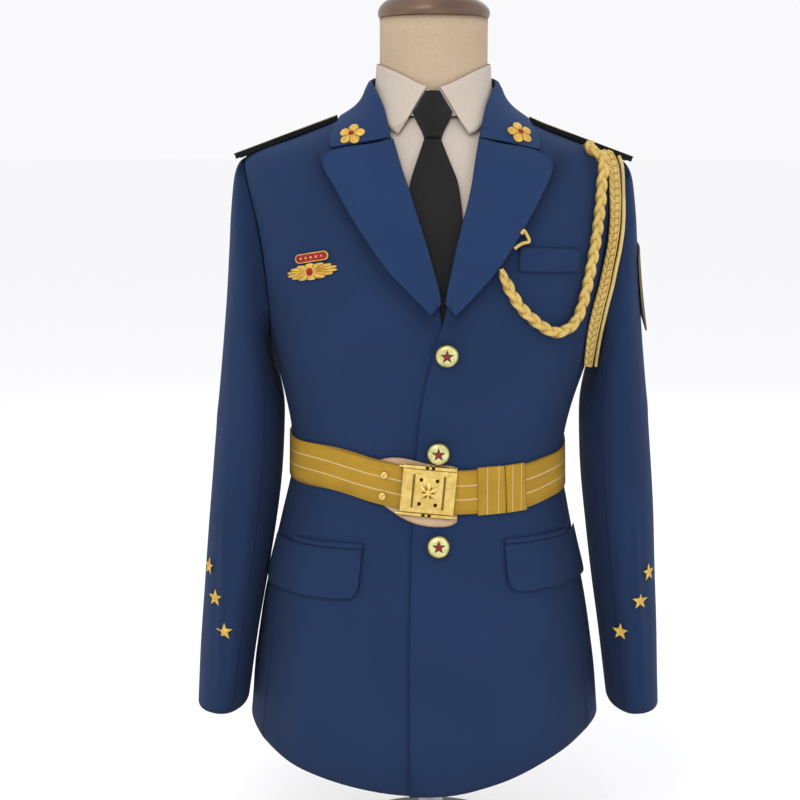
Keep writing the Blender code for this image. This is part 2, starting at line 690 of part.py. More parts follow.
def jacket_side(side, name):
    """Side body between the front and the back, up to the bottom of the armhole."""
    stops = np.arange(FRONT_STOP, BACK_START + 1) / ARMHOLE_POINTS
    arm_angle, arm_height = armhole(stops)
    share = np.linspace(0, 1, len(stops))
    hem_angle = mix(FRONT_SEAM[0], BACK_SEAM[0], share)
    rows = np.append(LOW_ROWS, 1.0)[:, None]
    angle = mix(hem_angle[None, :], arm_angle[None, :], rows)
    angle[:, 0] = mix(FRONT_SEAM[0], FRONT_SEAM[1], rows[:, 0])
    angle[:, -1] = mix(BACK_SEAM[0], BACK_SEAM[1], rows[:, 0])
    height = mix(hem(side * angle[0])[None, :], arm_height[None, :], rows)
    height[:, 0] = mix(hem(side * angle[:, 0]), arm_height[0], rows[:, 0])
    height[:, -1] = mix(hem(side * angle[:, -1]), arm_height[-1], rows[:, 0])
    sides = ("left", "right", "top")
    outer = pull_in(body(side * angle, height), sides)
    inner = pull_in(body(side * angle, height, -JACKET_CLOTH), sides)
    return wall(name, outer, inner, JACKET_BLUE)


def jacket_back(side, name):
    """Back panel from the side seam and armhole to the seam down the middle."""
    seam_angle, seam_height = side_rows(side, BACK_SEAM, range(BACK_START, ARMHOLE_POINTS + 1))
    neck_rows = 4
    rise = len(seam_angle) - neck_rows
    straight = np.append(LOW_ROWS * 0.74, np.linspace(0.74, 1.0, rise - len(LOW_ROWS)))
    middle_height = np.append(mix(HEM_SIDE, NECK_SEAM_BACK, straight), np.full(neck_rows, NECK_SEAM_BACK))
    middle_angle = np.append(np.full(rise, 180.0), np.linspace(180.0, 90.0, neck_rows + 1)[1:])
    middle_height[-1] = NECK_SEAM_SIDE
    share = np.linspace(0, 1, BACK_COLUMNS)[None, :]
    angle = mix(middle_angle[:, None], seam_angle[:, None], share)
    height = mix(middle_height[:, None], seam_height[:, None], share)
    height[0] = hem(side * angle[0])
    sides = ("left", "right", "top")
    outer = pull_in(body(side * angle, height), sides)
    inner = pull_in(body(side * angle, height, -JACKET_CLOTH), sides)
    return wall(name, outer, inner, JACKET_BLUE)


# Lapels and collar
def turned(side, fold_angle, fold_height, edge_angle, edge_height, standing, bend):
    """Outer face of a lapel or collar: rows along the fold, columns over its turned edge and out to its rim."""
    fold = body(fold_angle, fold_height)
    rim = body(edge_angle, edge_height)
    width = np.linalg.norm(rim - fold, axis=-1)
    columns = []
    for (flat_run, flat_rise), (stand_run, stand_rise) in zip(TURN_FLAT, TURN_STAND):
        run = mix(flat_run, stand_run, standing)
        run = np.clip(run, -0.45 * width, 0.45 * width)
        share = -run / width
        columns.append((share, mix(flat_rise, stand_rise, standing)))
    for share, flat_rise, stand_rise in LEAF_RISE:
        columns.append((share + 0 * width, mix(flat_rise, stand_rise, standing)))
    share = np.stack([column[0] for column in columns], axis=1)
    rise = np.stack([column[1] + 0 * width for column in columns], axis=1)
    angle = mix(fold_angle[:, None], edge_angle[:, None], share)
    height = mix(fold_height[:, None], edge_height[:, None], share)
    height = height + bend[:, None] * np.clip(1 - np.abs(share - 0.78) / 0.5, 0, 1)
    return body(angle, height, rise + front_lap(side, angle, height))


def sheet_wall(name, outer, thickness, colour, inward=1.0, sides=()):
    """Wall whose inner face is its outer face moved back along its normals."""
    normals = grid_normals(outer) * inward
    inner = pull_in(outer - normals * thickness, sides, SEAM)
    return wall(name, pull_in(outer, sides, SEAM), inner, colour)


def lapel(side, name):
    """Lapel, folded back along the roll line on its front."""
    share = np.linspace(0, 1, 12)
    roll_height = mix(BREAK_HEIGHT, GORGE_HEIGHT, share)
    edge_height = mix(BREAK_HEIGHT - 0.012, PEAK_HEIGHT, share)
    roll = curve(LAPEL, LAPEL_MIDDLE, roll_height) + side * curve(LAPEL, LAPEL_ROLL, roll_height)
    edge = curve(LAPEL, LAPEL_MIDDLE, edge_height) + side * curve(LAPEL, LAPEL_EDGE, edge_height)
    bend = 0.0085 * share ** 5
    outer = turned(side, front_angle(roll, roll_height), roll_height,
                   front_angle(edge, edge_height), edge_height, 0 * share, bend)
    return sheet_wall(name, outer, JACKET_CLOTH, JACKET_BLUE, side, ("top",))


def collar():
    """Collar from gorge to gorge round the back of the neck."""
    table = [(index,) + row for index, row in enumerate(COLLAR)]
    place = np.linspace(0, len(COLLAR) - 1, 11)
    half = [curve(table, column, place) for column in range(1, 6)]
    whole = []
    for column, values in enumerate(half):
        mirrored = 360.0 - values if column in (0, 2) else values
        whole.append(np.concatenate([values, mirrored[-2::-1]]))
    outer = turned(1, *whole[:4], whole[4], 0 * whole[4])
    return sheet_wall("collar", outer, JACKET_CLOTH, JACKET_BLUE, 1.0, ("top", "bottom"))


# Sleeves
def sleeve_rings(side):
    """Outer face of a sleeve: rings from the armhole to the cuff."""
    share = np.arange(ARMHOLE_POINTS) / ARMHOLE_POINTS
    turn = share * 2 * np.pi
    rings = []
    for outer_x, outer_z, inner_x, inner_z, middle_y, depth in SLEEVE:
        outer = np.array([outer_x, middle_y, outer_z])
        inner = np.array([inner_x, middle_y, inner_z])
        middle = (outer + inner) / 2
        reach = np.sign(np.cos(turn)) * np.abs(np.cos(turn)) ** 0.9
        lean = -np.sign(np.sin(turn)) * np.abs(np.sin(turn)) ** 0.9
        ring = middle + reach[:, None] * (outer - middle) + lean[:, None] * np.array([0.0, depth, 0.0])
        rings.append(ring)
    rings = settle(np.array(rings) * (side, 1, 1))
    angle, height = armhole(share)
    seat = body(side * angle, height, 0.0005)
    fade = np.array([1.0, 0.75, 0.42, 0.15, 0.03] + [0.0] * (len(SLEEVE) - 5))
    rings = rings + fade[:, None, None] * (seat - rings[0])
    crease = smooth_step((np.arange(len(SLEEVE)) - 5) / 4)[:, None]
    middle = rings.mean(axis=1, keepdims=True)
    near = np.exp(-((np.arange(ARMHOLE_POINTS) - CREASE_POINT) / 0.9) ** 2)[None, :]
    push = unit(rings - middle)
    rings = rings + push * (crease * near * CREASE_RISE)[..., None]
    lowering = (SLEEVE_SWAY_TOP - rings[..., 2]) / (SLEEVE_SWAY_TOP - SLEEVE[-1][1])
    rings[..., 0] += side * SLEEVE_SWAY[side] * smooth_step(lowering)
    return rings


def sleeve_normals(rings):
    """Normals of the sleeve's rings, pointing out."""
    normals = grid_normals(rings, True)
    outward = np.sign(np.sum(normals[8] * (rings[8] - rings[8].mean(axis=0))))
    return normals * outward


def on_sleeve(side, ring, point, out):
    """Point on a sleeve at a place along and round its rings, moved out."""
    rings = sleeve_rings(side)
    outer = rings + sleeve_normals(rings) * 0.01
    faces = []
    for grid in (rings, outer):
        low = np.clip(np.floor(ring).astype(int), 0, len(SLEEVE) - 2)
        along = (ring - low)[..., None]
        left = np.floor(point).astype(int)
        around = (point - left)[..., None]
        left = left % ARMHOLE_POINTS
        right = (left + 1) % ARMHOLE_POINTS
        below = mix(grid[low, left], grid[low, right], around)
        above = mix(grid[low + 1, left], grid[low + 1, right], around)
        faces.append(mix(below, above, along))
    return faces[0] + unit(faces[1] - faces[0]) * np.asarray(out)[..., None]


def sleeve(side, top_name, under_name):
    """Top sleeve and under sleeve of one arm."""
    rings = sleeve_rings(side)
    inner = rings - sleeve_normals(rings) * JACKET_CLOTH
    start, stop = SLEEVE_SEAMS
    pieces = {
        top_name: list(range(stop, ARMHOLE_POINTS)) + list(range(start + 1)),
        under_name: list(range(start, stop + 1)),
    }
    sides = ("left", "right", "bottom")
    for name, columns in pieces.items():
        face = pull_in(rings[:, columns], sides, SEAM)
        lining = pull_in(inner[:, columns], sides, SEAM)
        wall(name, face, lining, JACKET_BLUE)


# Shirt and tie
def shirt_side():
    """Angles and heights up the shirt's side seam and the front of its armhole."""
    arm_angle, arm_height = armhole(SHIRT_STOPS / ARMHOLE_POINTS)
    angle = mix(90.0, arm_angle[0], SHIRT_ROWS)
    height = mix(SHIRT_HEM, arm_height[0], SHIRT_ROWS)
    return np.concatenate([angle, arm_angle]), np.concatenate([height, arm_height])


def shirt_wall(name, angle, height, sides):
    """Wall of shirt cloth over a grid of angles and heights, a little deeper at the shoulders and waist."""
    depth = SHIRT_DEPTH - 0.0030 * np.exp(-((height - 0.905) / 0.022) ** 2)
    depth = depth - 0.0020 * np.exp(-((height - 0.530) / 0.050) ** 2)
    outer = pull_in(body(angle, height, depth), sides)
    inner = pull_in(body(angle, height, depth - SHIRT_CLOTH), sides)
    wall(name, outer, inner, SHIRT_WHITE)


def shirt_front(side, name):
    """Shirt front, without a sleeve."""
    low = mix(SHIRT_HEM, 0.700, SHIRT_ROWS)
    middle = np.concatenate([low, [0.770, 0.840, 0.900, 0.940], curve(SHIRT_NECK, 1, np.array([0.0]))])
    neck = np.array([50.0, 90.0])
    edge_angle = np.append(front_angle(SHIRT_MIDDLE, middle), side * neck)
    edge_height = np.append(middle, curve(SHIRT_NECK, 1, neck))
    side_angle, side_height = shirt_side()
    share = np.linspace(0, 1, SHIRT_COLUMNS)[None, :]
    angle = mix(edge_angle[:, None], side * side_angle[:, None], share)
    height = mix(edge_height[:, None], side_height[:, None], share)
    shirt_wall(name, angle, height, ("left", "right", "top"))


def shirt_back(side, name):
    """Half of the shirt's back."""
    arm_angle, arm_height = armhole(SHIRT_BACK_STOPS / ARMHOLE_POINTS)
    side_angle = np.append(mix(90.0, arm_angle[0], SHIRT_ROWS), arm_angle)
    side_height = np.append(mix(SHIRT_HEM, arm_height[0], SHIRT_ROWS), arm_height)
    neck = np.array([150.0, 120.0, 90.0])
    rise = len(side_angle) - len(neck)
    straight = np.append(SHIRT_ROWS * 0.74, np.linspace(0.74, 1.0, rise - len(SHIRT_ROWS)))
    middle_height = mix(SHIRT_HEM, curve(SHIRT_NECK, 1, 180.0), straight)
    middle_angle = np.append(np.full(rise, 180.0), neck)
    middle_height = np.append(middle_height, curve(SHIRT_NECK, 1, neck))
    share = np.linspace(0, 1, SHIRT_COLUMNS)[None, :]
    angle = mix(middle_angle[:, None], side_angle[:, None], share)
    height = mix(middle_height[:, None], side_height[:, None], share)
    shirt_wall(name, side * angle, height, ("left", "right", "top"))


def shirt_collar():
    """Collar stand and the leaf folded over it."""
    half = np.array([4.0, 12, 24, 36, 48, 60, 75, 90, 105, 120, 135, 150, 165])
    angle = np.concatenate([half, [180.0], 360 - half[::-1]])[None, :]
    near = np.minimum(angle, 360 - angle)
    low = curve(SHIRT_NECK, 1, near) + 5 * SEAM
    high = curve(SHIRT_FOLD, 1, near) - 0.0030
    height = mix(low, high, np.array([0.0, 0.16, 0.40, 0.68, 1.0])[:, None])
    angle = angle + 0 * height
    outer = body(angle, height, STAND_DEPTH)
    wall("shirt_collar_stand", outer, body(angle, height, STAND_DEPTH - SHIRT_CLOTH), SHIRT_WHITE)

    rows = np.array([0.0, 0.30, 0.62, 0.92, 1.0])[:, None]
    reach = mix(LEAF_POINT[0], LEAF_TOP[0], rows)
    level = mix(LEAF_POINT[1], LEAF_TOP[1], rows)
    half = np.array([12.0, 17, 24, 33, 45, 60, 75, 90, 105, 120, 135, 150, 165])[None, :]
    fade = np.clip((60 - half) / 48, 0, 1)
    left = half + (front_angle(LEAF_MIDDLE + reach, level) - 12) * fade
    right = half + (-front_angle(LEAF_MIDDLE - reach, level) - 12) * fade
    angle = np.concatenate([left, 0 * rows + 180, 360 - right[:, ::-1]], axis=1)
    near = np.minimum(angle, 360 - angle)
    height = mix(curve(LEAF_EDGE, 1, near), curve(SHIRT_FOLD, 1, near), rows)
    roll = np.array([0.0, 0.0, 0.0, 0.0002, 0.0011])[:, None]
    lower = np.array([0.0, 0.0, 0.0, 0.0, 0.0010])[:, None]
    outer = body(angle, height, LEAF_DEPTH - roll)
    inner = body(angle, height - lower, LEAF_DEPTH - roll - SHIRT_CLOTH)
    wall("shirt_collar_leaf", outer, inner, SHIRT_WHITE)


def tie():
    """Knot and blade of the tie."""
    share = np.array([-1.0, -0.82, -0.45, 0.0, 0.45, 0.82, 1.0])[None, :]
    bulge = np.sqrt(np.clip(1 - share ** 2, 0.0, 1.0))
    height, half, thick = [np.array(column)[:, None] for column in zip(*KNOT)]
    angle = front_angle(TIE_MIDDLE + half * share, height)
    back = SHIRT_DEPTH + 0.0007
    depth = back + np.maximum(thick * bulge, 0.0012)
    wall("tie_knot", body(angle, height, depth), body(angle, height, back + 0 * depth), TIE_BLACK, 0.6)

    height, middle, half = [np.array(column)[:, None] for column in zip(*BLADE)]
    angle = front_angle(middle + half * share, height)
    puff = 0.0040 * smooth_step((height - 0.865) / 0.055) * (1 - share ** 2)
    outer = body(angle, height, LEAF_DEPTH + puff)
    inner = body(angle, height, LEAF_DEPTH + puff - BLADE_CLOTH)
    wall("tie_blade", outer, inner, TIE_BLACK, 0.6)


# Pockets
def flap(side, name, jet_name):
    """Pocket flap with rounded lower corners, and the narrow jet above it."""
    inner_angle, outer_angle, top_in, top_out, low_in, low_out = FLAPS[side]
    share = np.array([0.0, 0.02, 0.05, 0.09, 0.17, 0.28, 0.40, 0.52, 0.64, 0.76, 0.86, 0.93, 0.975, 1.0])[None, :]
    rows = np.array([0.0, 0.25, 0.62, 1.0])[:, None]
    away = np.minimum(share, 1 - share) * FLAP_WIDTH
    inside = np.clip(1 - away / FLAP_CORNER, 0.0, 1.0)
    corner = FLAP_CORNER * (1 - np.sqrt(1 - inside ** 2))
    angle = side * mix(inner_angle, outer_angle, share)
    height = mix(mix(low_in, low_out, share) + corner, mix(top_in, top_out, share), rows)
    lift = TRIM_LIFT + 0.0012 * (1 - rows)
    angle = angle + 0 * height
    outer = body(angle, height, lift + FLAP_CLOTH)
    wall(name, outer, body(angle, height, lift + 0 * height), JACKET_BLUE)

    share = np.linspace(0.0, JET_SHARE, 8)[None, :]
    angle = side * mix(inner_angle, outer_angle, share)
    height = mix(top_in, top_out, share) + 2 * SEAM + JET_WIDTH * np.array([0.0, 0.5, 1.0])[:, None]
    angle = angle + 0 * height
    crown = np.array([0.0022, 0.0028, 0.0016])[:, None]
    wall(jet_name, body(angle, height, TRIM_LIFT + crown), body(angle, height, TRIM_LIFT), JACKET_BLUE)


def welt():
    """Breast pocket welt on the wearer's left."""
    corners = np.array(WELT).reshape(2, 2, 2)
    along = np.linspace(0, 1, 8)[None, :, None]
    up = np.linspace(0, 1, 3)[:, None, None]
    grid = mix(mix(corners[0, 0], corners[0, 1], along), mix(corners[1, 0], corners[1, 1], along), up)
    across, height = grid[..., 0], grid[..., 1]
    outer = on_front(across, height, TRIM_LIFT + 0.0016)
    wall("chest_welt", outer, on_front(across, height, TRIM_LIFT), JACKET_BLUE)


# Seats and small raised pieces
def on_front(across, height, out):
    """Point on the jacket's front at a place across and a height, moved out."""
    angle = front_angle(across, height)
    return body(angle, height, out + over_lap(angle, height))


def over_lap(angle, height):
    """Rise of the left front's lap, easing down to the right front past its edge."""
    across = section(angle, height, True)[..., 0]
    return front_lap(1, angle, height) * smooth_step((across + 0.060) / 0.030)


def seat(place, beyond, turn=0.0):
    """Place, across, up and out directions of a small piece; turn is in degrees, clockwise seen from outside."""
    out = unit(beyond - place)
    across = unit(np.cross([0.0, 0.0, 1.0], out))
    up = np.cross(out, across)
    bend = np.radians(turn)
    return place, across * np.cos(bend) - up * np.sin(bend), up * np.cos(bend) + across * np.sin(bend), out


def front_seat(across, height, out, turn=0.0):
    """Seat on the jacket's front."""
    return seat(on_front(across, height, out), on_front(across, height, out + 0.01), turn)


def sleeve_seat(side, ring, point, out, turn=0.0):
    """Seat on a sleeve."""
    ring, point = np.array(ring), np.array(point)
    return seat(on_sleeve(side, ring, point, out), on_sleeve(side, ring, point, out + 0.01), turn)


def relief(name, where, outline, levels, crown, colour=METAL_GOLD, roughness=0.3, metallic=1.0, hollow=0.0):
    """Small raised piece: its outline at each level (scale, height), closed by a point below and one above.

    hollow is how much its back curves round what it lies on: one over that radius.
    """
    place, across, up, out = where
    points = [place]
    rings = [[0]]
    for scale, height in levels:
        flat = np.asarray(outline) * scale
        drop = hollow * flat[:, 0] ** 2 / 2
        ring = place + flat[:, :1] * across + flat[:, 1:] * up + (height - drop)[:, None] * out
        rings.append(list(range(len(points), len(points) + len(ring))))
        points += list(ring)
    rings.append([len(points)])
    points.append(place + crown * out)
    return solid(name, points, bridge(rings), colour, roughness, metallic)


def circle(radius, sides):
    """Round outline."""
    turn = np.arange(sides) / sides * 2 * np.pi
    return np.stack([radius * np.sin(turn), radius * np.cos(turn)], axis=-1)


def star(radius):
    """Outline of a five-pointed star."""
    turn = np.arange(10) * np.pi / 5
    reach = np.where(np.arange(10) % 2 == 0, radius, radius * 0.42)
    return np.stack([reach * np.sin(turn), reach * np.cos(turn)], axis=-1)


def buttons():
    """Three domed buttons down the front."""
    levels = [(1.0, 0.0), (1.0, 0.0022), (0.90, 0.0036), (0.55, 0.0050)]
    for name, across, height in BUTTONS:
        relief(name, front_seat(across, height, BUTTON_LIFT), circle(BUTTON_RADIUS, 16), levels, 0.0056)


def cuff_stars():
    """Raised stars on the cuffs."""
    for side, word in ((-1, "right"), (1, "left")):
        for number, (ring, point) in enumerate(CUFF_STARS[side]):
            where = sleeve_seat(side, ring, point, STAR_LIFT)
            name = "cuff_star_%s_%d" % (word, number + 1)
            relief(name, where, star(STAR_RADIUS), [(1.0, 0.0), (1.0, 0.0008)], 0.0030, hollow=12.0)


# Belt
def belt_lift(angle, height):
    """Space under the belt: more where it crosses the lap and the leather tab."""
    across = section(angle, height, True)[..., 0]
    tab = smooth_step((0.050 - across) / 0.018) * smooth_step((across + 0.087) / 0.016)
    ahead = np.cos(np.radians(angle))
    behind = 0.0012 * smooth_step((0.1 - ahead) / 0.3)
    return STRAP_LIFT + np.where(ahead > 0, OVER_TAB * tab + over_lap(angle, height), 0.0) + behind


def strap(angle, share, out):
    """Point on the belt at an angle, a share of its width up, out from its inner face."""
    angle, share, out = np.broadcast_arrays(np.asarray(angle, dtype=float), share, out)
    middle = curve(BELT, 1, (angle + 180.0) % 360.0 - 180.0)
    edges = []
    for half in (-BELT_WIDTH / 2, BELT_WIDTH / 2):
        height = middle + half
        edges.append(body(angle, height, belt_lift(angle, height) + out))
    return mix(edges[0], edges[1], share[..., None])


def belt():
    """Webbing belt with its two keepers."""
    angle = np.array(BELT_ANGLES)[None, :]
    share = np.array([0.0, 1.0])[:, None]
    wall("belt_strap", strap(angle, share, WEBBING), strap(angle, share, 0.0), BELT_GOLD, 0.8)
    side, near = 0.0019 / BELT_WIDTH, 0.0006 / BELT_WIDTH
    outer_share = np.array([-side, -side, -near, 1 + near, 1 + side, 1 + side])[:, None]
    outer_out = np.array([-0.0003, 0.0030, 0.0036, 0.0036, 0.0030, -0.0003])[:, None]
    inner_share = np.array([-near, -near, 0.0, 1.0, 1 + near, 1 + near])[:, None]
    inner_out = np.array([-0.0003, 0.0020, 0.0024, 0.0024, 0.0020, -0.0003])[:, None]
    for name, start, stop in KEEPERS:
        angle = np.linspace(start, stop, 4)[None, :]
        wall(name, strap(angle, outer_share, outer_out), strap(angle, inner_share, inner_out), BELT_GOLD, 0.8)


def buckle():
    """Buckle plate, the leather tab behind it and the two rivets in the belt's end."""
    across, low, high = [np.array(column)[None, :] for column in zip(*TAB)]
    height = mix(low, high, np.linspace(0, 1, 5)[:, None])
    across = across + 0 * height
    lift = TRIM_LIFT + 0.0002
    wall("buckle_tab", on_front(across, height, lift + LEATHER), on_front(across, height, lift), TAN_LEATHER, 0.6)

    share, thick = [np.array(column)[None, :] for column in zip(*PLATE_RELIEF)]
    up = np.array([-1.0, -0.94, 0.94, 1.0])[:, None]
    thick = thick - np.where(np.abs(up) == 1, 0.0006, 0.0)
    tilt = np.radians(PLATE_TILT)
    lift = STRAP_LIFT + OVER_TAB + WEBBING + 0.0005
    faces = []
    for out in (lift + thick, lift + 0 * thick):
        edges = []
        for end in (-1, 1):
            right = share * PLATE_HALF[0]
            above = end * PLATE_HALF[1]
            place = PLATE_PLACE[0] + right * np.cos(tilt) + above * np.sin(tilt)
            height = PLATE_PLACE[1] - right * np.sin(tilt) + above * np.cos(tilt)
            edges.append(on_front(place + 0 * up, height + 0 * up, out))
        faces.append(mix(edges[0], edges[1], (up[..., None] + 1) / 2))
    wall("buckle_plate", faces[0], faces[1], METAL_GOLD, 0.3, 1.0)

    for name, angle, share in RIVETS:
        place = strap(angle, share, WEBBING + 0.0006)
        beyond = strap(angle, share, WEBBING + 0.0106)
        relief(name, seat(place, beyond), circle(0.0042, 10), [(1.0, 0.0), (0.9, 0.0012), (0.4, 0.0018)], 0.0019)


# Trim
def shoulder_board(side, name):
    """Stiff board along the shoulder, from the collar's edge to past the sleeve head."""
    across = mix(BOARD[0][0], BOARD[-1][0], np.array([0.0, 0.03, 0.10, 0.28, 0.52, 0.76, 1.0]))
    rows = np.array([-1.0, -0.5, 0.0, 0.5, 1.0])[:, None]
    depth = rows * curve(BOARD, 1, across)[None, :]
    height = BOARD_START[1] + BOARD_SLOPE * (across - BOARD_START[0])
    slope = np.hypot(1, BOARD_SLOPE)
    low = np.stack([side * across + 0 * depth, depth, height - 0.0012 * rows ** 2], axis=-1)
    out = np.array([-side * BOARD_SLOPE, 0.0, 1.0]) / slope
    low = settle(low)
    wall(name, low + out * BOARD_THICK, low, BOARD_BLACK, 0.6)


def arm_patch():
    """Stiff patch on the outside of the wearer's left sleeve, standing off a little at its point."""
    share, half, lift = [np.array(column)[:, None] for column in zip(*PATCH)]
    round_it = np.linspace(-1, 1, 7)[None, :]
    point = PATCH_POINT + half * round_it
    ring = mix(PATCH_RINGS[0], PATCH_RINGS[1], share) + 0 * point
    lift = lift + 0 * point
    wall("arm_patch", on_sleeve(1, ring, point, lift + 0.0016), on_sleeve(1, ring, point, lift), BOARD_BLACK, 0.7)


def collar_devices():
    """A leaf rosette on each side of the collar."""
    turn = np.arange(20) * np.pi / 10
    reach = DEVICE_RADIUS * (0.66 + 0.34 * np.abs(np.cos(2.5 * turn)))
    outline = np.stack([reach * np.sin(turn), reach * np.cos(turn)], axis=-1)
    levels = [(1.0, 0.0), (0.97, 0.0010), (0.5, 0.0021)]
    for side, word in ((-1, "right"), (1, "left")):
        place, facing, lift = DEVICES[side]
        facing = unit(np.array(facing))
        where = seat(place + lift * facing, place + (lift + 0.01) * facing)
        relief("collar_device_" + word, where, outline, levels, 0.0016, hollow=5.0)


def badge():
    """Breast badge: a leaf spray under a narrow bar."""
    turn = np.arange(28) * np.pi / 14
    reach = np.where(np.arange(28) % 2 == 0, 1.0, 0.86)
    outline = np.stack([0.0330 * reach * np.sin(turn), 0.0095 * reach * np.cos(turn)], axis=-1)
    where = front_seat(*BADGE_SPRAY, TRIM_LIFT, BADGE_TILT)
    relief("badge_spray", where, outline, [(1.0, 0.0), (0.97, 0.0009), (0.5, 0.0019)], 0.0024, hollow=7.5)
    turn = (np.arange(8) + 0.5) * np.pi / 8
    end = np.stack([0.0160 + 0.0052 * np.sin(turn), 0.0052 * np.cos(turn)], axis=-1)
    outline = np.concatenate([end, -end])
    where = front_seat(*BADGE_BAR, TRIM_LIFT, BADGE_TILT)
    relief("badge_bar", where, outline, [(1.0, 0.0), (0.98, 0.0014), (0.6, 0.0016)], 0.0016, hollow=7.5)


# Cords
def smooth_path(points, count):
    """Evenly spaced points on a smooth curve through a table's points."""
    points = np.array(points)
    length = np.concatenate([[0.0], np.cumsum(np.linalg.norm(np.diff(points, axis=0), axis=1))])
    slope = np.gradient(points, length, axis=0)
    at = np.linspace(0, length[-1], count)
    row = np.clip(np.searchsorted(length, at, side="right") - 1, 0, len(length) - 2)
    step = (length[row + 1] - length[row])[:, None]
    share = (at - length[row])[:, None] / step
    start = (1 + 2 * share) * (1 - share) ** 2 * points[row] + share * (1 - share) ** 2 * step * slope[row]
    return start + share ** 2 * (3 - 2 * share) * points[row + 1] + share ** 2 * (share - 1) * step * slope[row + 1]


def cord(name, route, radius, count):
    """Round cord along a route: a bevelled curve with its ends filled."""
    path = smooth_path(route, count)
    tube = bpy.data.curves.new(name, "CURVE")
    tube.dimensions = "3D"
    tube.bevel_depth = radius
    tube.bevel_resolution = 2
    tube.use_fill_caps = True
    line = tube.splines.new("POLY")
    line.points.add(count - 1)
    line.points.foreach_set("co", np.append(path, np.ones((count, 1)), axis=1).ravel())
    line.use_smooth = True
    finish(tube, name, CORD_GOLD, 0.7, 0.0)


def cords():
    """Plait, flat braid with the cord along its edge, and the small loop beside the lapel."""
    cord("plait_cord", PLAIT, PLAIT_RADIUS, 20)
    cord("edge_cord", EDGE_CORD, EDGE_CORD_RADIUS, 22)
    cord("lapel_loop", LOOP, LOOP_RADIUS, 9)
    rows = np.array(BRAID[::-1]).reshape(-1, 2, 3)
    share = np.array([0.0, 0.3, 0.7, 1.0])[None, :, None]
    middle = mix(rows[:, :1], rows[:, 1:], share)
    half = BRAID_THICK / 2 * np.array([0.6, 1.0, 1.0, 0.6])[None, :, None]
    out = grid_normals(middle) * half
    wall("braid_band", middle + out, middle - out, CORD_GOLD, 0.7)


# Dress form and stand
def dress_form():
    """Limbless torso and neck, a closed smooth solid under the clothes."""
    levels = [0.225, 0.232, 0.300, 0.380, 0.460, 0.530, 0.600, 0.670, 0.740, 0.800, 0.860, 0.892, 0.910,
              0.925, 0.940, 0.954, 0.968, 0.983, 1.000, NECK_TOP]
    angles = np.arange(24) * 15.0
    points = []
    rings = []
    for index, level in enumerate(levels):
        depth = FORM_DEPTH - FORM_HOLLOW * np.exp(-((level - 0.960) / 0.022) ** 2)
        depth -= FORM_UNDER * smooth_step((0.985 - level) / 0.030)
        if index == 0:
            depth -= 0.010
        ring = body(angles, level, depth, False)
        ring[:, 2] = level if index in (0, len(levels) - 1) else ring[:, 2]
        rings.append(list(range(len(points), len(points) + len(ring))))
        points += ring.tolist()
    for ring in (rings[0], rings[-1]):
        middle = np.mean([points[index] for index in ring], axis=0)
        points.append(middle.tolist())
    rings = [[len(points) - 2]] + rings + [[len(points) - 1]]
    solid("form_torso", points, bridge(rings), LINEN, 0.9)


def stand():
    """Neck cap, pole and base."""
    low = NECK_TOP + SEAM
    cap = [(0.0, low), (0.066, low), (0.0675, low + 0.004), (0.0665, low + 0.010),
           (0.060, low + 0.019), (0.044, low + 0.026), (0.022, low + 0.030), (0.0, low + CAP_HEIGHT)]
    lathe("form_neck_cap", cap, 24, DARK_WOOD, 0.35, 0.0)
    top = BASE_HEIGHT
    base = [(0.0, 0.0), (BASE_RADIUS - 0.003, 0.0), (BASE_RADIUS, 0.003), (BASE_RADIUS, top - 0.008),
            (BASE_RADIUS - 0.004, top - 0.003), (BASE_RADIUS - 0.012, top), (0.0, top)]
    lathe("stand_base", base, 36, (0.02, 0.02, 0.022), 0.4, 0.6)
    pole = [(0.0, top + SEAM), (0.030, top + SEAM), (0.030, top + 0.006), (POLE_RADIUS, top + 0.012),
            (POLE_RADIUS, FORM_BOTTOM - SEAM), (0.0, FORM_BOTTOM - SEAM)]
    lathe("stand_pole", pole, 16, (0.55, 0.55, 0.57), 0.3, 1.0)


def main():
    """Build every piece."""
    for old in list(bpy.data.objects):
        bpy.data.objects.remove(old, do_unlink=True)
    for side, word in ((-1, "right"), (1, "left")):
        jacket_front(side, "front_" + word)
        jacket_side(side, "side_body_" + word)
        jacket_back(side, "back_" + word)
        lapel(side, "lapel_" + word)
        sleeve(side, "top_sleeve_" + word, "under_sleeve_" + word)
        shirt_front(side, "shirt_front_" + word)
        shirt_back(side, "shirt_back_" + word)
        flap(side, "pocket_flap_" + word, "pocket_jet_" + word)
        shoulder_board(side, "shoulder_board_" + word)
    collar()
    shirt_collar()
    tie()
    welt()
    buttons()
    cuff_stars()
    belt()
    buckle()
    arm_patch()
    collar_devices()
    badge()
    cords()
    dress_form()
    stand()


main()
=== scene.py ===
# Honor guard uniform on a dress form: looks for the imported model.
# Metres, +Z up. The wearer faces -Y and +X is the wearer's left.

import math

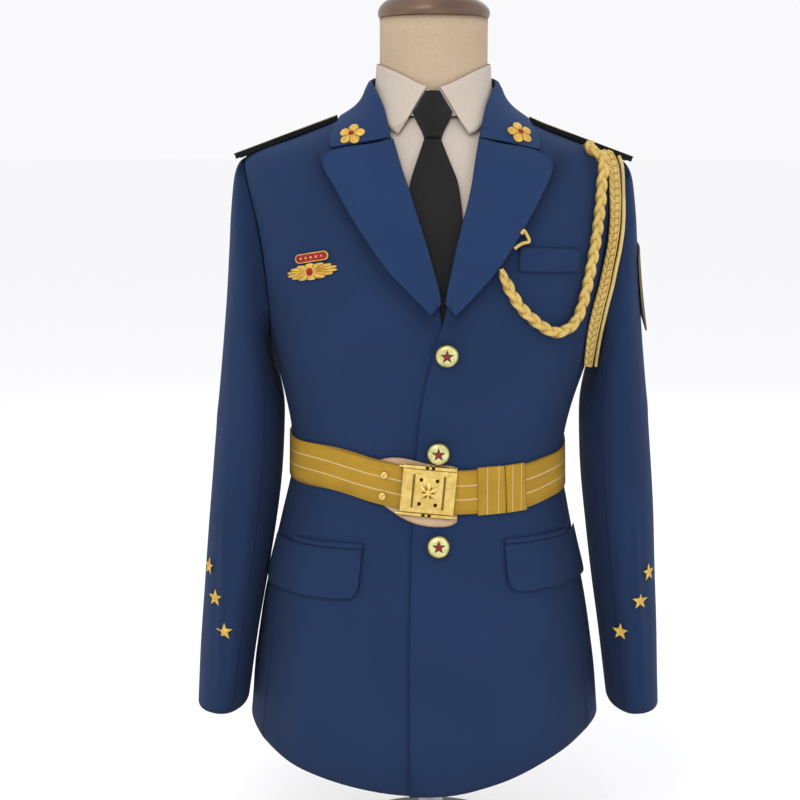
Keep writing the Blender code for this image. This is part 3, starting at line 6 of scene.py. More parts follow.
import bmesh
import bpy
import numpy as np
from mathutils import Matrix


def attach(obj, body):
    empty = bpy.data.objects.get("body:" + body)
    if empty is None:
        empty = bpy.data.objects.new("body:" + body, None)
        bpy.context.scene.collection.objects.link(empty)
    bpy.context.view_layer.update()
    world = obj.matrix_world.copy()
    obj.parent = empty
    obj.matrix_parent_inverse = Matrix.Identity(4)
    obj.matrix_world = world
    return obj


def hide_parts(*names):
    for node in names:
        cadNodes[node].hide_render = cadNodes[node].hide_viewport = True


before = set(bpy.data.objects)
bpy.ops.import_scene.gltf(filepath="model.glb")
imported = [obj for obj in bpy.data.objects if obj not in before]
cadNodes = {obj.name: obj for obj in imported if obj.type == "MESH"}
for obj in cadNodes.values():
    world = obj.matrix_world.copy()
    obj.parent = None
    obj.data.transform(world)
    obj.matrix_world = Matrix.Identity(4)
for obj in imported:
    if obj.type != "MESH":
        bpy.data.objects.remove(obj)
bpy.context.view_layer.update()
print("stage: frame loaded")

# Camera, as the photograph was taken
camera = {
    "place": (-0.040, -1.740, 0.947), "tilt": 79.1, "focal": 64.08, "sensor": 36.0,
    "near": 0.01, "far": 200.0,
}

eyeData = bpy.data.cameras.new("photoCamera")
eyeData.sensor_width = camera["sensor"]
eyeData.lens = camera["focal"]
eyeData.clip_start = camera["near"]
eyeData.clip_end = camera["far"]
eye = bpy.data.objects.new("photoCamera", eyeData)
eye.location = camera["place"]
eye.rotation_euler = (math.radians(camera["tilt"]), 0.0, 0.0)
bpy.context.scene.collection.objects.link(eye)
bpy.context.scene.camera = eye

# Plain pale floor and soft studio light
studio = {
    "floor": (0.975, 0.975, 0.98), "floorRadius": 40.0, "floorCorners": 64, "floorRoughness": 0.9,
    "sky": (0.985, 0.985, 1.0), "skyStrength": 0.965,
}
# name, place, aim, width, power, colour
lamps = [
    ("keyLamp", (-0.90, -2.30, 2.70), (0.0, 0.0, 0.80), 1.5, 26.0, (1.0, 0.98, 0.96)),
    ("fillLamp", (1.90, -1.90, 1.50), (0.0, 0.0, 0.70), 1.8, 6.0, (0.96, 0.98, 1.0)),
    ("backLamp", (0.40, 2.40, 2.30), (0.0, 0.0, 0.80), 1.8, 16.0, (1.0, 1.0, 1.0)),
]


def aimAt(place, target):
    # turn of an object at place that looks at target
    away = np.array(place) - np.array(target)
    flat = math.hypot(away[0], away[1])
    return (math.atan2(flat, away[2]), 0.0, math.atan2(away[0], -away[1]))


def makeStage():
    # round floor, sky light and three soft lamps
    world = bpy.data.worlds.new("studioSky")
    bpy.context.scene.world = world
    world.use_nodes = True
    sky = world.node_tree.nodes["Background"]
    sky.inputs["Color"].default_value = (*studio["sky"], 1.0)
    sky.inputs["Strength"].default_value = studio["skyStrength"]
    count = studio["floorCorners"]
    turn = np.arange(count) / count * 2 * np.pi
    rim = np.stack([np.cos(turn), np.sin(turn), 0 * turn], axis=1) * studio["floorRadius"]
    mesh = bpy.data.meshes.new("studioFloor")
    mesh.from_pydata(rim.tolist(), [], [list(range(count))])
    floor = bpy.data.objects.new("studioFloor", mesh)
    bpy.context.scene.collection.objects.link(floor)
    paint = bpy.data.materials.new("floorPaint")
    paint.use_nodes = True
    shader = paint.node_tree.nodes["Principled BSDF"]
    shader.inputs["Base Color"].default_value = (*studio["floor"], 1.0)
    shader.inputs["Roughness"].default_value = studio["floorRoughness"]
    mesh.materials.append(paint)
    for name, place, target, width, power, colour in lamps:
        light = bpy.data.lights.new(name, "AREA")
        light.shape = "DISK"
        light.size = width
        light.energy = power
        light.color = colour
        lamp = bpy.data.objects.new(name, light)
        lamp.location = place
        lamp.rotation_euler = aimAt(place, target)
        bpy.context.scene.collection.objects.link(lamp)


makeStage()
bpy.context.scene.view_settings.view_transform = "Standard"
print("stage: camera, floor and lamps")


# Shader sockets as numbers: operators on a Wire add Math nodes
class Wire:
    def __init__(self, finish, socket):
        self.finish = finish
        self.socket = socket

    def join(self, operation, *others):
        values = [self, *others]
        return self.finish.node("ShaderNodeMath", {"operation": operation}, dict(enumerate(values)))

    def __add__(self, other):
        return self.join("ADD", other)

    def __radd__(self, other):
        return self.join("ADD", other)

    def __sub__(self, other):
        return self.join("SUBTRACT", other)

    def __rsub__(self, other):
        return self.finish.node("ShaderNodeMath", {"operation": "SUBTRACT"}, {0: other, 1: self})

    def __mul__(self, other):
        return self.join("MULTIPLY", other)

    def __truediv__(self, other):
        return self.join("DIVIDE", other)

    def sine(self):
        return self.join("SINE")

    def absolute(self):
        return self.join("ABSOLUTE")

    def above(self, edge, soft):
        # soft step from 0 below the edge to 1 above it
        sockets = {"Value": self, "From Min": edge - soft, "From Max": edge + soft}
        return self.finish.node("ShaderNodeMapRange", {"interpolation_type": "SMOOTHSTEP"}, sockets)


class Finish:
    # a material: its fixed values, then nodes for what varies over the surface
    def __init__(self, name, colour, fixed):
        self.material = bpy.data.materials.new(name)
        self.material.use_nodes = True
        self.material.diffuse_color = (*colour, 1.0)
        self.tree = self.material.node_tree
        self.shader = self.tree.nodes["Principled BSDF"]
        self.shader.inputs["Base Color"].default_value = (*colour, 1.0)
        for socket, value in fixed.items():
            self.shader.inputs[socket].default_value = value

    def node(self, kind, settings=None, sockets=None, output=0):
        # any node: its settings first, then the values or links of its sockets
        made = self.tree.nodes.new(kind)
        for setting, value in (settings or {}).items():
            setattr(made, setting, value)
        for socket, value in (sockets or {}).items():
            self.feed(made.inputs[socket], value)
        return Wire(self, made.outputs[output])

    def feed(self, socket, value):
        if isinstance(value, Wire):
            self.tree.links.new(value.socket, socket)
        elif isinstance(value, tuple) and len(value) == 3 and socket.type == "RGBA":
            socket.default_value = (*value, 1.0)
        else:
            socket.default_value = value

    def places(self):
        # object coordinates
        return self.node("ShaderNodeTexCoord", output=3)

    def measure(self, name, part):
        # a number from a surface map: part 0 runs round the piece and part 1 along it
        spread = self.node("ShaderNodeUVMap", {"uv_map": name})
        return self.node("ShaderNodeSeparateXYZ", {}, {0: spread}, part)

    def number(self, name):
        # a number stored on the points of the mesh
        return self.node("ShaderNodeAttribute", {"attribute_name": name}, {}, 2)

    def grain(self, scale, detail=3.0, stretch=None):
        # cloudy noise on object coordinates
        place = self.places()
        if stretch:
            place = self.node("ShaderNodeVectorMath", {"operation": "MULTIPLY"}, {0: place, 1: stretch})
        return self.node("ShaderNodeTexNoise", {}, {"Vector": place, "Scale": scale, "Detail": detail})

    def blend(self, share, first, second):
        # colour between two colours
        settings = {"data_type": "RGBA", "blend_type": "MIX"}
        return self.node("ShaderNodeMix", settings, {0: share, 6: first, 7: second}, 2)

    def bump(self, height, distance, strength=1.0):
        sockets = {"Height": height, "Distance": distance, "Strength": strength}
        self.feed(self.shader.inputs["Normal"], self.node("ShaderNodeBump", {}, sockets))

    def colour(self, value):
        self.feed(self.shader.inputs["Base Color"], value)

    def roughness(self, value):
        self.feed(self.shader.inputs["Roughness"], value)


# Cloths, measured round and along each piece in metres on the map "weave"
# the colour "seam" darkens the seams and is also the colour of the painted shade
cloths = {
    "jacket": {
        "dark": (0.0105, 0.0280, 0.0820), "light": (0.0140, 0.0365, 0.1050), "seam": (0.006, 0.015, 0.045),
        "twill": 0.0013, "lean": 1.9, "rib": 0.0001, "fuzz": 0.0002, "sheen": 0.07, "tint": (0.45, 0.62, 1.0),
    },
    "shirt": {
        "dark": (0.535, 0.460, 0.392), "light": (0.606, 0.524, 0.450), "seam": (0.40, 0.33, 0.27),
        "twill": 0.0009, "lean": 0.0, "rib": 0.00004, "fuzz": 0.0003, "sheen": 0.05, "tint": (1.0, 1.0, 1.0),
    },
    "tie": {
        "dark": (0.0110, 0.0106, 0.0110), "light": (0.0190, 0.0182, 0.0188), "seam": (0.006, 0.006, 0.007),
        "twill": 0.0016, "lean": 1.0, "rib": 0.00012, "fuzz": 0.0001, "sheen": 0.06, "tint": (0.8, 0.85, 1.0),
    },
    "felt": {
        "dark": (0.0060, 0.0060, 0.0070), "light": (0.0110, 0.0110, 0.0130), "seam": (0.004, 0.004, 0.005),
        "twill": 0.0012, "lean": 1.0, "rib": 0.00004, "fuzz": 0.0003, "sheen": 0.06, "tint": (0.7, 0.75, 0.9),
    },
    "linen": {
        "dark": (0.447, 0.335, 0.226), "light": (0.557, 0.430, 0.300), "seam": (0.30, 0.22, 0.15),
        "twill": 0.0014, "lean": 0.0, "rib": 0.00008, "fuzz": 0.0002, "sheen": 0.03, "tint": (1.0, 0.95, 0.85),
    },
}
# shared by the cloths: sizes and shares of the noises, the cross thread, where a border or a seam line with
# painted shade begins
clothBase = {
    "cloud": 9.0, "cloudShare": 0.55, "mottle": 900.0, "mottleShare": 0.45, "squash": (1.0, 1.0, 0.35),
    "slant": 0.4, "finer": 1.3, "borderAt": 0.72, "seamShadeAt": 0.95, "seamShadeShare": 0.6,
    "roughness": 0.80, "uneven": 0.12, "bump": 0.8,
}


def clothFinish(name, border=None, paintedLight=1.0, label="Cloth"):
    # woven cloth: cloudy colour, slanted ribs one way and a fine thread the other, painted shade, darker along
    # its seams
    look = cloths[name]
    base = clothBase
    # paintedLight scales both colours: painted light above 1, painted shade below 1
    dark = tuple(paintedLight * part for part in look["dark"])
    light = tuple(paintedLight * part for part in look["light"])
    fixed = {"Roughness": 0.86, "Sheen Weight": look["sheen"], "Sheen Roughness": 0.45,
             "Sheen Tint": (*look["tint"], 1.0), "Specular IOR Level": 0.18}
    finish = Finish(name + label, light, fixed)
    cloud = finish.grain(base["cloud"], 4.0)
    mottle = finish.grain(base["mottle"], 2.0, base["squash"])
    share = cloud.above(0.5, 0.25) * base["cloudShare"] + mottle.above(0.5, 0.2) * base["mottleShare"]
    cloth = finish.blend(share, dark, light)
    # painted shade: the number "shade" darkens the cloth towards the seam colour
    cloth = finish.blend(finish.number("shade"), cloth, look["seam"])
    edge = finish.number("edge")
    if border:
        rim = edge.above(base["borderAt"], 0.03)
    else:
        # darker along seams and sharp edges: partly a seam line, partly painted shade beside the edges
        rim = edge.above(base["seamShadeAt"], 0.05) * base["seamShadeShare"]
    finish.colour(finish.blend(rim, cloth, border or look["seam"]))
    across = finish.measure("weave", 0)
    along = finish.measure("weave", 1)
    turns = 2 * math.pi / look["twill"]
    ribs = ((across + along * look["lean"]) * turns).sine()
    threads = ((along - across * base["slant"]) * (turns * base["finer"])).sine()
    height = ribs * look["rib"] + threads * (0.5 * look["rib"]) + mottle * look["fuzz"]
    finish.bump(height, 1.0, base["bump"])
    finish.roughness(base["roughness"] + mottle * base["uneven"])
    return finish.material


# shared by the cords: turns round a strand, what twist and fibre (painted highlight and shade) and cloud add
# to the colour, heights in metres
cordBase = {
    "threads": 3.0, "fibres": 8.0, "finer": 0.3, "cloud": 60.0, "least": 0.35, "shares": (0.22, 0.10, 0.45),
    "heights": (0.00022, 0.00010), "bump": 0.8,
}


def cordFinish(name, dark, light, pitch):
    # twisted thread: "weave" runs round each strand (0 to 1) and along it in metres
    base = cordBase
    twistShare, fibreShare, cloudShare = base["shares"]
    finish = Finish(name, light, {"Roughness": 0.6, "Sheen Weight": 0.10, "Sheen Roughness": 0.4,
                                  "Sheen Tint": (1.0, 0.86, 0.5, 1.0), "Specular IOR Level": 0.3})
    around = finish.measure("weave", 0)
    along = finish.measure("weave", 1)
    full = 2 * math.pi
    twist = ((around * base["threads"] + along / pitch) * full).sine() * 0.5 + 0.5
    fibre = ((around * base["fibres"] + along / (pitch * base["finer"])) * full).sine() * 0.5 + 0.5
    cloud = finish.grain(base["cloud"])
    low = finish.number("low")
    # painted highlight on each twist and fibre, painted shade where the number "low" is high
    share = (base["least"] + twist * twistShare + fibre * fibreShare + cloud * cloudShare) * (1 - low)
    finish.colour(finish.blend(share, dark, light))
    finish.bump(twist * base["heights"][0] + fibre * base["heights"][1], 1.0, base["bump"])
    return finish.material


# shared by the metals: what tarnish, brushing and low places add to the roughness, heights in metres
metalBase = {
    "low": (0.045, 0.026, 0.008), "cloud": 140.0, "brush": 500.0, "squash": (0.15, 1.0, 1.0),
    "rough": (0.14, 0.08, 0.25), "heights": (0.00006, 0.00008), "bump": 0.5,
}


def metalFinish(name, dark, light, roughness, metallic=1.0, coat=0.0):
    # lacquered metal: fine brushing, cloudy tarnish and dark low places
    base = metalBase
    cloudRough, brushRough, lowRough = base["rough"]
    finish = Finish(name, light, {"Metallic": metallic, "Coat Weight": coat, "Coat Roughness": 0.15})
    cloud = finish.grain(base["cloud"], 4.0)
    brush = finish.grain(base["brush"], 2.0, base["squash"])
    low = finish.number("low")
    metal = finish.blend(cloud.above(0.48, 0.22), dark, light)
    finish.colour(finish.blend(low, metal, base["low"]))
    finish.roughness(roughness + cloud * cloudRough + brush * brushRough + low * lowRough)
    finish.bump(brush * base["heights"][0] + cloud * base["heights"][1], 1.0, base["bump"])
    return finish.material


def enamelFinish(name, dark, light):
    # coloured enamel under a clear coat
    finish = Finish(name, light, {"Coat Weight": 0.25, "Coat Roughness": 0.15, "Roughness": 0.5,
                                  "Specular IOR Level": 0.25})
    cloud = finish.grain(220.0)
    finish.colour(finish.blend(cloud.above(0.5, 0.2), dark, light))
    finish.bump(cloud * 0.00006, 1.0, 0.4)
    return finish.material


# ribs and heights in metres, lines and edge in shares of the width
webbing = {
    "dark": (0.30, 0.158, 0.009), "light": (0.50, 0.292, 0.018), "line": (0.58, 0.46, 0.24),
    "edge": (0.22, 0.115, 0.010), "ribs": 0.0011, "lineWidth": 0.015, "lineSoft": 0.004,
    "edgeAt": 0.475, "edgeSoft": 0.012, "edgeShare": 0.7, "cloud": 26.0, "thread": 700.0,
    "shares": (0.30, 0.35, 0.35), "heights": (0.00022, 0.00015, 0.0001), "bump": 0.7,
}


def webbingFinish(name, linesAt, part):
    # woven belt: fine ribs across it, two pale lines along it and a bound edge
    # part is where the map "strap" holds the share of the width, and the other place holds the length
    look = webbing
    finish = Finish(name, look["light"], {"Roughness": 0.72, "Sheen Weight": 0.05, "Specular IOR Level": 0.3,
                                          "Sheen Tint": (1.0, 0.9, 0.6, 1.0)})
    length = finish.measure("strap", 1 - part)
    share = finish.measure("strap", part)
    ribs = (length * (2 * math.pi / look["ribs"])).sine() * 0.5 + 0.5
    cloud = finish.grain(look["cloud"], 4.0)
    thread = finish.grain(look["thread"], 2.0)
    ribShare, cloudShare, threadShare = look["shares"]
    mixed = ribs * ribShare + cloud.above(0.5, 0.3) * cloudShare + thread * threadShare
    base = finish.blend(mixed, look["dark"], look["light"])
    first, second = [1 - (share - at).absolute().above(look["lineWidth"], look["lineSoft"]) for at in linesAt]
    line = first + second
    lined = finish.blend(line * (0.75 + thread * 0.25), base, look["line"])
    rim = (share - 0.5).absolute().above(look["edgeAt"], look["edgeSoft"])
    finish.colour(finish.blend(rim * look["edgeShare"], lined, look["edge"]))
    ribHeight, lineHeight, threadHeight = look["heights"]
    finish.bump(ribs * ribHeight + line * lineHeight + thread * threadHeight, 1.0, look["bump"])
    return finish.material


leather = {
    "dark": (0.46, 0.31, 0.19), "light": (0.60, 0.43, 0.29), "plain": (0.56, 0.37, 0.25),
    "edge": (0.38, 0.23, 0.13), "edgeAt": 0.90, "pores": 900.0, "cloud": 40.0,
    "roughness": 0.48, "uneven": 0.18,
}


def leatherFinish():
    # smooth tan leather with fine pores
    look = leather
    finish = Finish("tabLeather", look["plain"], {"Roughness": 0.55, "Specular IOR Level": 0.3})
    pore = finish.node("ShaderNodeTexVoronoi", {"feature": "DISTANCE_TO_EDGE"},
                       {"Vector": finish.places(), "Scale": look["pores"]})
    cloud = finish.grain(look["cloud"], 4.0)
    edge = finish.number("edge")
    skin = finish.blend(cloud.above(0.5, 0.3), look["dark"], look["light"])
    finish.colour(finish.blend(edge.above(look["edgeAt"], 0.08), skin, look["edge"]))
    finish.bump(pore * 0.0003 + cloud * 0.0002, 1.0, 0.5)
    finish.roughness(look["roughness"] + cloud * look["uneven"])
    return finish.material


wood = {
    "dark": (0.060, 0.026, 0.012), "light": (0.165, 0.082, 0.038), "plain": (0.13, 0.055, 0.025),
    "streak": 24.0, "streakSquash": (1.0, 0.25, 3.0), "fine": 160.0, "fineSquash": (1.0, 0.2, 2.0),
    "roughness": 0.36, "uneven": 0.2,
}


def woodFinish():
    # turned wood: streaks drawn out along one level direction, with finer ones between them, under varnish
    look = wood
    finish = Finish("capWood", look["plain"], {"Coat Weight": 0.35, "Coat Roughness": 0.2})
    streak = finish.grain(look["streak"], 5.0, look["streakSquash"])
    fine = finish.grain(look["fine"], 3.0, look["fineSquash"])
    share = streak.above(0.5, 0.25) * 0.75 + fine * 0.25
    finish.colour(finish.blend(share, look["dark"], look["light"]))
    finish.roughness(look["roughness"] + fine * look["uneven"])
    finish.bump(fine * 0.0002 + streak * 0.0003, 1.0, 0.4)
    return finish.material


def steelFinish(name, dark, light, roughness, metallic):
    # satin steel of the stand with faint wear
    finish = Finish(name, light, {"Metallic": metallic})
    cloud = finish.grain(30.0, 5.0)
    finish.colour(finish.blend(cloud.above(0.52, 0.2), dark, light))
    finish.roughness(roughness + cloud * 0.12)
    finish.bump(cloud * 0.0001, 1.0, 0.3)
    return finish.material


jacketCloth = clothFinish("jacket")
# lighter copy of the jacket cloth for lapels and collar: painted light
litJacketCloth = clothFinish("jacket", paintedLight=1.22, label="LapelCloth")
# darker copy of the jacket cloth for the sleeves: painted shade
shadedJacketCloth = clothFinish("jacket", paintedLight=0.90, label="SleeveCloth")
shirtCloth = clothFinish("shirt")
tieCloth = clothFinish("tie")
feltCloth = clothFinish("felt")
patchCloth = clothFinish("felt", (0.20, 0.15, 0.055), label="PatchCloth")
linenCloth = clothFinish("linen")
goldCord = cordFinish("goldCord", (0.20, 0.11, 0.020), (0.76, 0.54, 0.15), 0.0036)
paleCord = cordFinish("paleCord", (0.36, 0.24, 0.07), (0.74, 0.56, 0.22), 0.0036)
trimCord = cordFinish("trimCord", (0.16, 0.12, 0.06), (0.34, 0.27, 0.14), 0.0030)
goldMetal = metalFinish("goldMetal", (0.66, 0.45, 0.12), (0.82, 0.60, 0.20), 0.22)
paleGold = metalFinish("paleGold", (0.52, 0.49, 0.17), (0.76, 0.74, 0.34), 0.24, 0.8, 0.2)
starGold = metalFinish("starGold", (0.50, 0.29, 0.035), (0.74, 0.47, 0.08), 0.42, 0.3)
darkGold = metalFinish("darkGold", (0.13, 0.075, 0.02), (0.22, 0.13, 0.04), 0.45)
redEnamel = enamelFinish("redEnamel", (0.20, 0.003, 0.006), (0.34, 0.006, 0.010))
darkEnamel = enamelFinish("darkEnamel", (0.016, 0.005, 0.006), (0.030, 0.010, 0.010))
beltWeb = webbingFinish("beltWebbing", (0.345, 0.655), 1)
keeperWeb = webbingFinish("keeperWebbing", (0.36, 0.74), 0)
tanLeather = leatherFinish()
capWood = woodFinish()
blackSteel = steelFinish("blackSteel", (0.014, 0.014, 0.016), (0.030, 0.030, 0.033), 0.35, 0.4)
poleSteel = steelFinish("poleSteel", (0.38, 0.38, 0.40), (0.60, 0.60, 0.62), 0.28, 1.0)
print("stage: materials")


# Maths and mesh helpers shared by the pieces
def unit(vectors):
    return vectors / np.maximum(np.linalg.norm(vectors, axis=-1, keepdims=True), 1e-12)


def smoothStep(value):
    value = np.clip(value, 0.0, 1.0)
    return value * value * (3 - 2 * value)


def pointsOf(mesh):
    points = np.empty(len(mesh.vertices) * 3)
    mesh.vertices.foreach_get("co", points)
    return points.reshape(-1, 3)


def movePoints(mesh, points):
    mesh.vertices.foreach_set("co", points.ravel())
    mesh.update()


def addPiece(name, mesh, material, nodes=()):
    # puts a finished mesh in the scene on the one body, in place of its solids
    made = bpy.data.objects.new(name, mesh)
    bpy.context.scene.collection.objects.link(made)
    mesh.materials.clear()
    mesh.materials.append(material)
    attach(made, "root")
    if nodes:
        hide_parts(*nodes)
    return made


def storeMap(mesh, name, values):
    # a surface map from one pair of numbers for each corner
    layer = mesh.uv_layers.new(name=name)
    layer.data.foreach_set("uv", np.ascontiguousarray(values, dtype=np.float32).ravel())


def storeNumber(mesh, name, values):
    layer = mesh.attributes.new(name, "FLOAT", "POINT")
    layer.data.foreach_set("value", np.ascontiguousarray(values, dtype=np.float32))


def cornerPoints(mesh):
    index = np.empty(len(mesh.loops), dtype=np.int64)
    mesh.loops.foreach_get("vertex_index", index)
    return index


rowStep = 0.001          # metres from row to row on the map "weave" of a shape that gives no lengths


class Shape:
    # closed surfaces in one mesh: each is a grid whose rows run round it, shut by a face at both ends
    def __init__(self):
        self.points = []
        self.faces = []
        self.corners = []
        self.low = []
        self.total = 0

    def add(self, grid, along=None, low=None):
        rows, columns = grid.shape[:2]
        along = np.arange(rows) * rowStep if along is None else along
        index = self.total + np.arange(rows * columns).reshape(rows, columns)
        after = np.roll(index, -1, axis=1)
        quads = np.stack([index[:-1], after[:-1], after[1:], index[1:]], axis=-1)
        around = np.arange(columns) / columns
        here = np.broadcast_to(around, (rows - 1, columns))
        start = np.broadcast_to(along[:-1, None], (rows - 1, columns))
        stop = np.broadcast_to(along[1:, None], (rows - 1, columns))
        pairs = [(here, start), (here + 1 / columns, start), (here + 1 / columns, stop), (here, stop)]
        corners = np.stack([np.stack(pair, axis=-1) for pair in pairs], axis=2)
        self.faces += quads.reshape(-1, 4).tolist() + [index[0, ::-1].tolist(), index[-1].tolist()]
        self.corners += [corners.reshape(-1, 2)]
        self.corners += [np.stack([around[::-1], along[0] + 0 * around], axis=-1)]
        self.corners += [np.stack([around, along[-1] + 0 * around], axis=-1)]
        self.points += [grid.reshape(-1, 3)]
        self.low += [np.zeros(rows * columns) if low is None else low.ravel()]
        self.total += rows * columns

    def mesh(self, name, sharp=40.0):
        mesh = bpy.data.meshes.new(name)
        mesh.from_pydata(np.concatenate(self.points).tolist(), [], self.faces)
        storeMap(mesh, "weave", np.concatenate(self.corners))
        storeNumber(mesh, "low", np.concatenate(self.low))
        work = bmesh.new()
        work.from_mesh(mesh)
        bmesh.ops.recalc_face_normals(work, faces=work.faces)
        work.to_mesh(mesh)
        work.free()
        mesh.shade_smooth()
        mesh.set_sharp_from_angle(angle=math.radians(sharp))
        return mesh


def smoothPath(points, count):
    # evenly spaced points on a cubic curve through a table's points
    points = np.array(points)
    length = np.concatenate([[0.0], np.cumsum(np.linalg.norm(np.diff(points, axis=0), axis=1))])
    slope = np.gradient(points, length, axis=0)
    at = np.linspace(0, length[-1], count)
    row = np.clip(np.searchsorted(length, at, side="right") - 1, 0, len(length) - 2)
    step = (length[row + 1] - length[row])[:, None]
    share = (at - length[row])[:, None] / step
    start = (1 + 2 * share) * (1 - share) ** 2 * points[row] + share * (1 - share) ** 2 * step * slope[row]
    stop = share ** 2 * (3 - 2 * share) * points[row + 1]
    return start + stop + share ** 2 * (share - 1) * step * slope[row + 1]


def pathLength(path):
    return np.concatenate([[0.0], np.cumsum(np.linalg.norm(np.diff(path, axis=0), axis=1))])


def pathFrame(path, facing):
    # side and out directions across a path, out being nearest to facing
    ahead = unit(np.gradient(path, axis=0))
    facing = np.broadcast_to(unit(np.array(facing, dtype=float)), path.shape)
    out = unit(facing - (ahead * facing).sum(axis=1, keepdims=True) * ahead)
    return np.cross(ahead, out), out


cordLobes = 3            # threads that show round one twisted cord
cordSharp = 80.0         # degrees: edges of a cord below this angle are shaded smooth


def tubeGrid(path, radius, facing, columns, relief=0.0, pitch=0.009):
    # ring = path + r (cos t side + sin t out), r = radius (1 + relief cos(lobes t - 2 pi lobes s / pitch))
    side, out = pathFrame(path, facing)
    along = pathLength(path)
    turn = np.arange(columns) / columns * 2 * np.pi
    twist = cordLobes * turn[None, :] - 2 * np.pi * cordLobes * along[:, None] / pitch
    wide = np.broadcast_to(radius, along.shape)[:, None] * (1 + relief * np.cos(twist))
    ring = np.cos(turn)[None, :, None] * side[:, None] + np.sin(turn)[None, :, None] * out[:, None]
    return path[:, None] + wide[..., None] * ring, along


# Gold cords on the wearer's left shoulder, from the board down
plait = {
    "route": [
        (0.1808, -0.0456, 0.9266), (0.1831, -0.0602, 0.9194), (0.1926, -0.0692, 0.9128),
        (0.1950, -0.0752, 0.9010), (0.1928, -0.0807, 0.8834), (0.1913, -0.0866, 0.8631),
        (0.1894, -0.0898, 0.8450), (0.1869, -0.0933, 0.8246), (0.1835, -0.0969, 0.8042),
        (0.1796, -0.1000, 0.7826), (0.1751, -0.1029, 0.7610), (0.1695, -0.1062, 0.7405),
        (0.1630, -0.1102, 0.7259), (0.1509, -0.1168, 0.7164), (0.1375, -0.1240, 0.7145),
        (0.1230, -0.1306, 0.7218), (0.1098, -0.1360, 0.7323), (0.0968, -0.1395, 0.7451),
        (0.0868, -0.1418, 0.7602), (0.0792, -0.1424, 0.7749), (0.0762, -0.1438, 0.7815),
        (0.0736, -0.1436, 0.7890),
    ],
    "diameter": 0.0124, "strand": 0.0031, "sway": 0.0034, "depth": 0.0025, "period": 0.050,
    "facing": (0.25, -1.0, 0.35), "point": 0.016, "narrow": 0.45, "relief": 0.03, "pitch": 0.009,
    "count": 380, "columns": 16,
}
edgeCord = {
    "route": [
        (0.2180, -0.0362, 0.9120), (0.2212, -0.0398, 0.9030), (0.2228, -0.0406, 0.8899),
        (0.2232, -0.0455, 0.8703), (0.2225, -0.0577, 0.8500), (0.2209, -0.0665, 0.8296),
        (0.2176, -0.0729, 0.8079), (0.2131, -0.0759, 0.7849), (0.2091, -0.0762, 0.7626),
        (0.2043, -0.0742, 0.7398), (0.2000, -0.0690, 0.7153), (0.1968, -0.0610, 0.6889),
        (0.1945, -0.0570, 0.6640),
    ],
    "radius": 0.0021, "facing": (0.7, -1.0, 0.2), "relief": 0.12, "pitch": 0.0075,
    "count": 300, "columns": 14,
}
lapelLoop = {
    "route": [
        (0.0965, -0.1330, 0.8275), (0.0990, -0.1318, 0.8312), (0.1030, -0.1290, 0.8262),
        (0.1057, -0.1284, 0.8190), (0.0985, -0.1312, 0.8170), (0.0925, -0.1336, 0.8138),
        (0.0890, -0.1352, 0.8112),
    ],
    "radius": 0.0018, "facing": (0.3, -1.0, 0.1), "relief": 0.12, "pitch": 0.0065,
    "count": 90, "columns": 14,
}
# rails: a point of the inner edge, then one of the outer edge
braid = {
    "rails": [
        (0.1977, -0.0355, 0.9190, 0.2110, -0.0345, 0.9168),
        (0.1989, -0.0479, 0.9134, 0.2135, -0.0395, 0.9112),
        (0.2012, -0.0590, 0.9033, 0.2163, -0.0440, 0.9026),
        (0.2025, -0.0648, 0.8908, 0.2180, -0.0470, 0.8902),
        (0.2038, -0.0672, 0.8713, 0.2195, -0.0490, 0.8702),
        (0.2048, -0.0675, 0.8505, 0.2192, -0.0566, 0.8499),
        (0.2044, -0.0680, 0.8295, 0.2177, -0.0645, 0.8294),
        (0.2020, -0.0700, 0.8075, 0.2145, -0.0704, 0.8077),
        (0.1973, -0.0735, 0.7845, 0.2100, -0.0740, 0.7846),
        (0.1925, -0.0776, 0.7627, 0.2060, -0.0748, 0.7623),
        (0.1865, -0.0824, 0.7410, 0.2008, -0.0742, 0.7395),
        (0.1817, -0.0832, 0.7175, 0.1962, -0.0715, 0.7150),
        (0.1795, -0.0775, 0.6927, 0.1925, -0.0660, 0.6890),
        (0.1790, -0.0690, 0.6662, 0.1895, -0.0600, 0.6640),
    ],
    "thick": 0.0024, "relief": 0.0017, "pitch": 0.0088, "border": 0.80, "lean": 0.55,
    "facing": (0.6, -1.0, 0.3), "count": 420, "columns": 30,
}


def makePlait():
    # strand k: side sway sin(p), out depth sin(2 p), p = 2 pi s / period + 2 pi k / 3, each a twisted cord
    look = plait
    path = smoothPath(look["route"], look["count"])
    side, out = pathFrame(path, look["facing"])
    length = pathLength(path)
    phase = 2 * np.pi * length / look["period"]
    full = 1 - (1 - look["narrow"]) * smoothStep((length - length[-1] + look["point"]) / look["point"])
    shape = Shape()
    for strand in range(3):
        turn = (phase + strand * 2 * np.pi / 3)[:, None]
        sway = look["sway"] * np.sin(turn) * side + look["depth"] * np.sin(2 * turn) * out
        line = path + full[:, None] * sway
        grid, along = tubeGrid(line, look["strand"] * full, look["facing"], look["columns"], look["relief"],
                               look["pitch"])
        # painted shade: darker where a strand dips under the others
        low = 0.75 * smoothStep((0.35 - np.sin(2 * turn)) / 1.3) + np.zeros(grid.shape[:2])
        shape.add(grid, along, low)
    made = addPiece("plait", shape.mesh("plait", cordSharp), goldCord, ["plait_cord"])
    return float(length[-1])


def makeCord(name, look, node, material):
    # one twisted cord along its route
    path = smoothPath(look["route"], look["count"])
    grid, along = tubeGrid(path, look["radius"], look["facing"], look["columns"], look["relief"],
                           look["pitch"])
    shape = Shape()
    shape.add(grid, along)
    made = addPiece(name, shape.mesh(name, cordSharp), material, [node])
    length = float(along[-1])
    return length


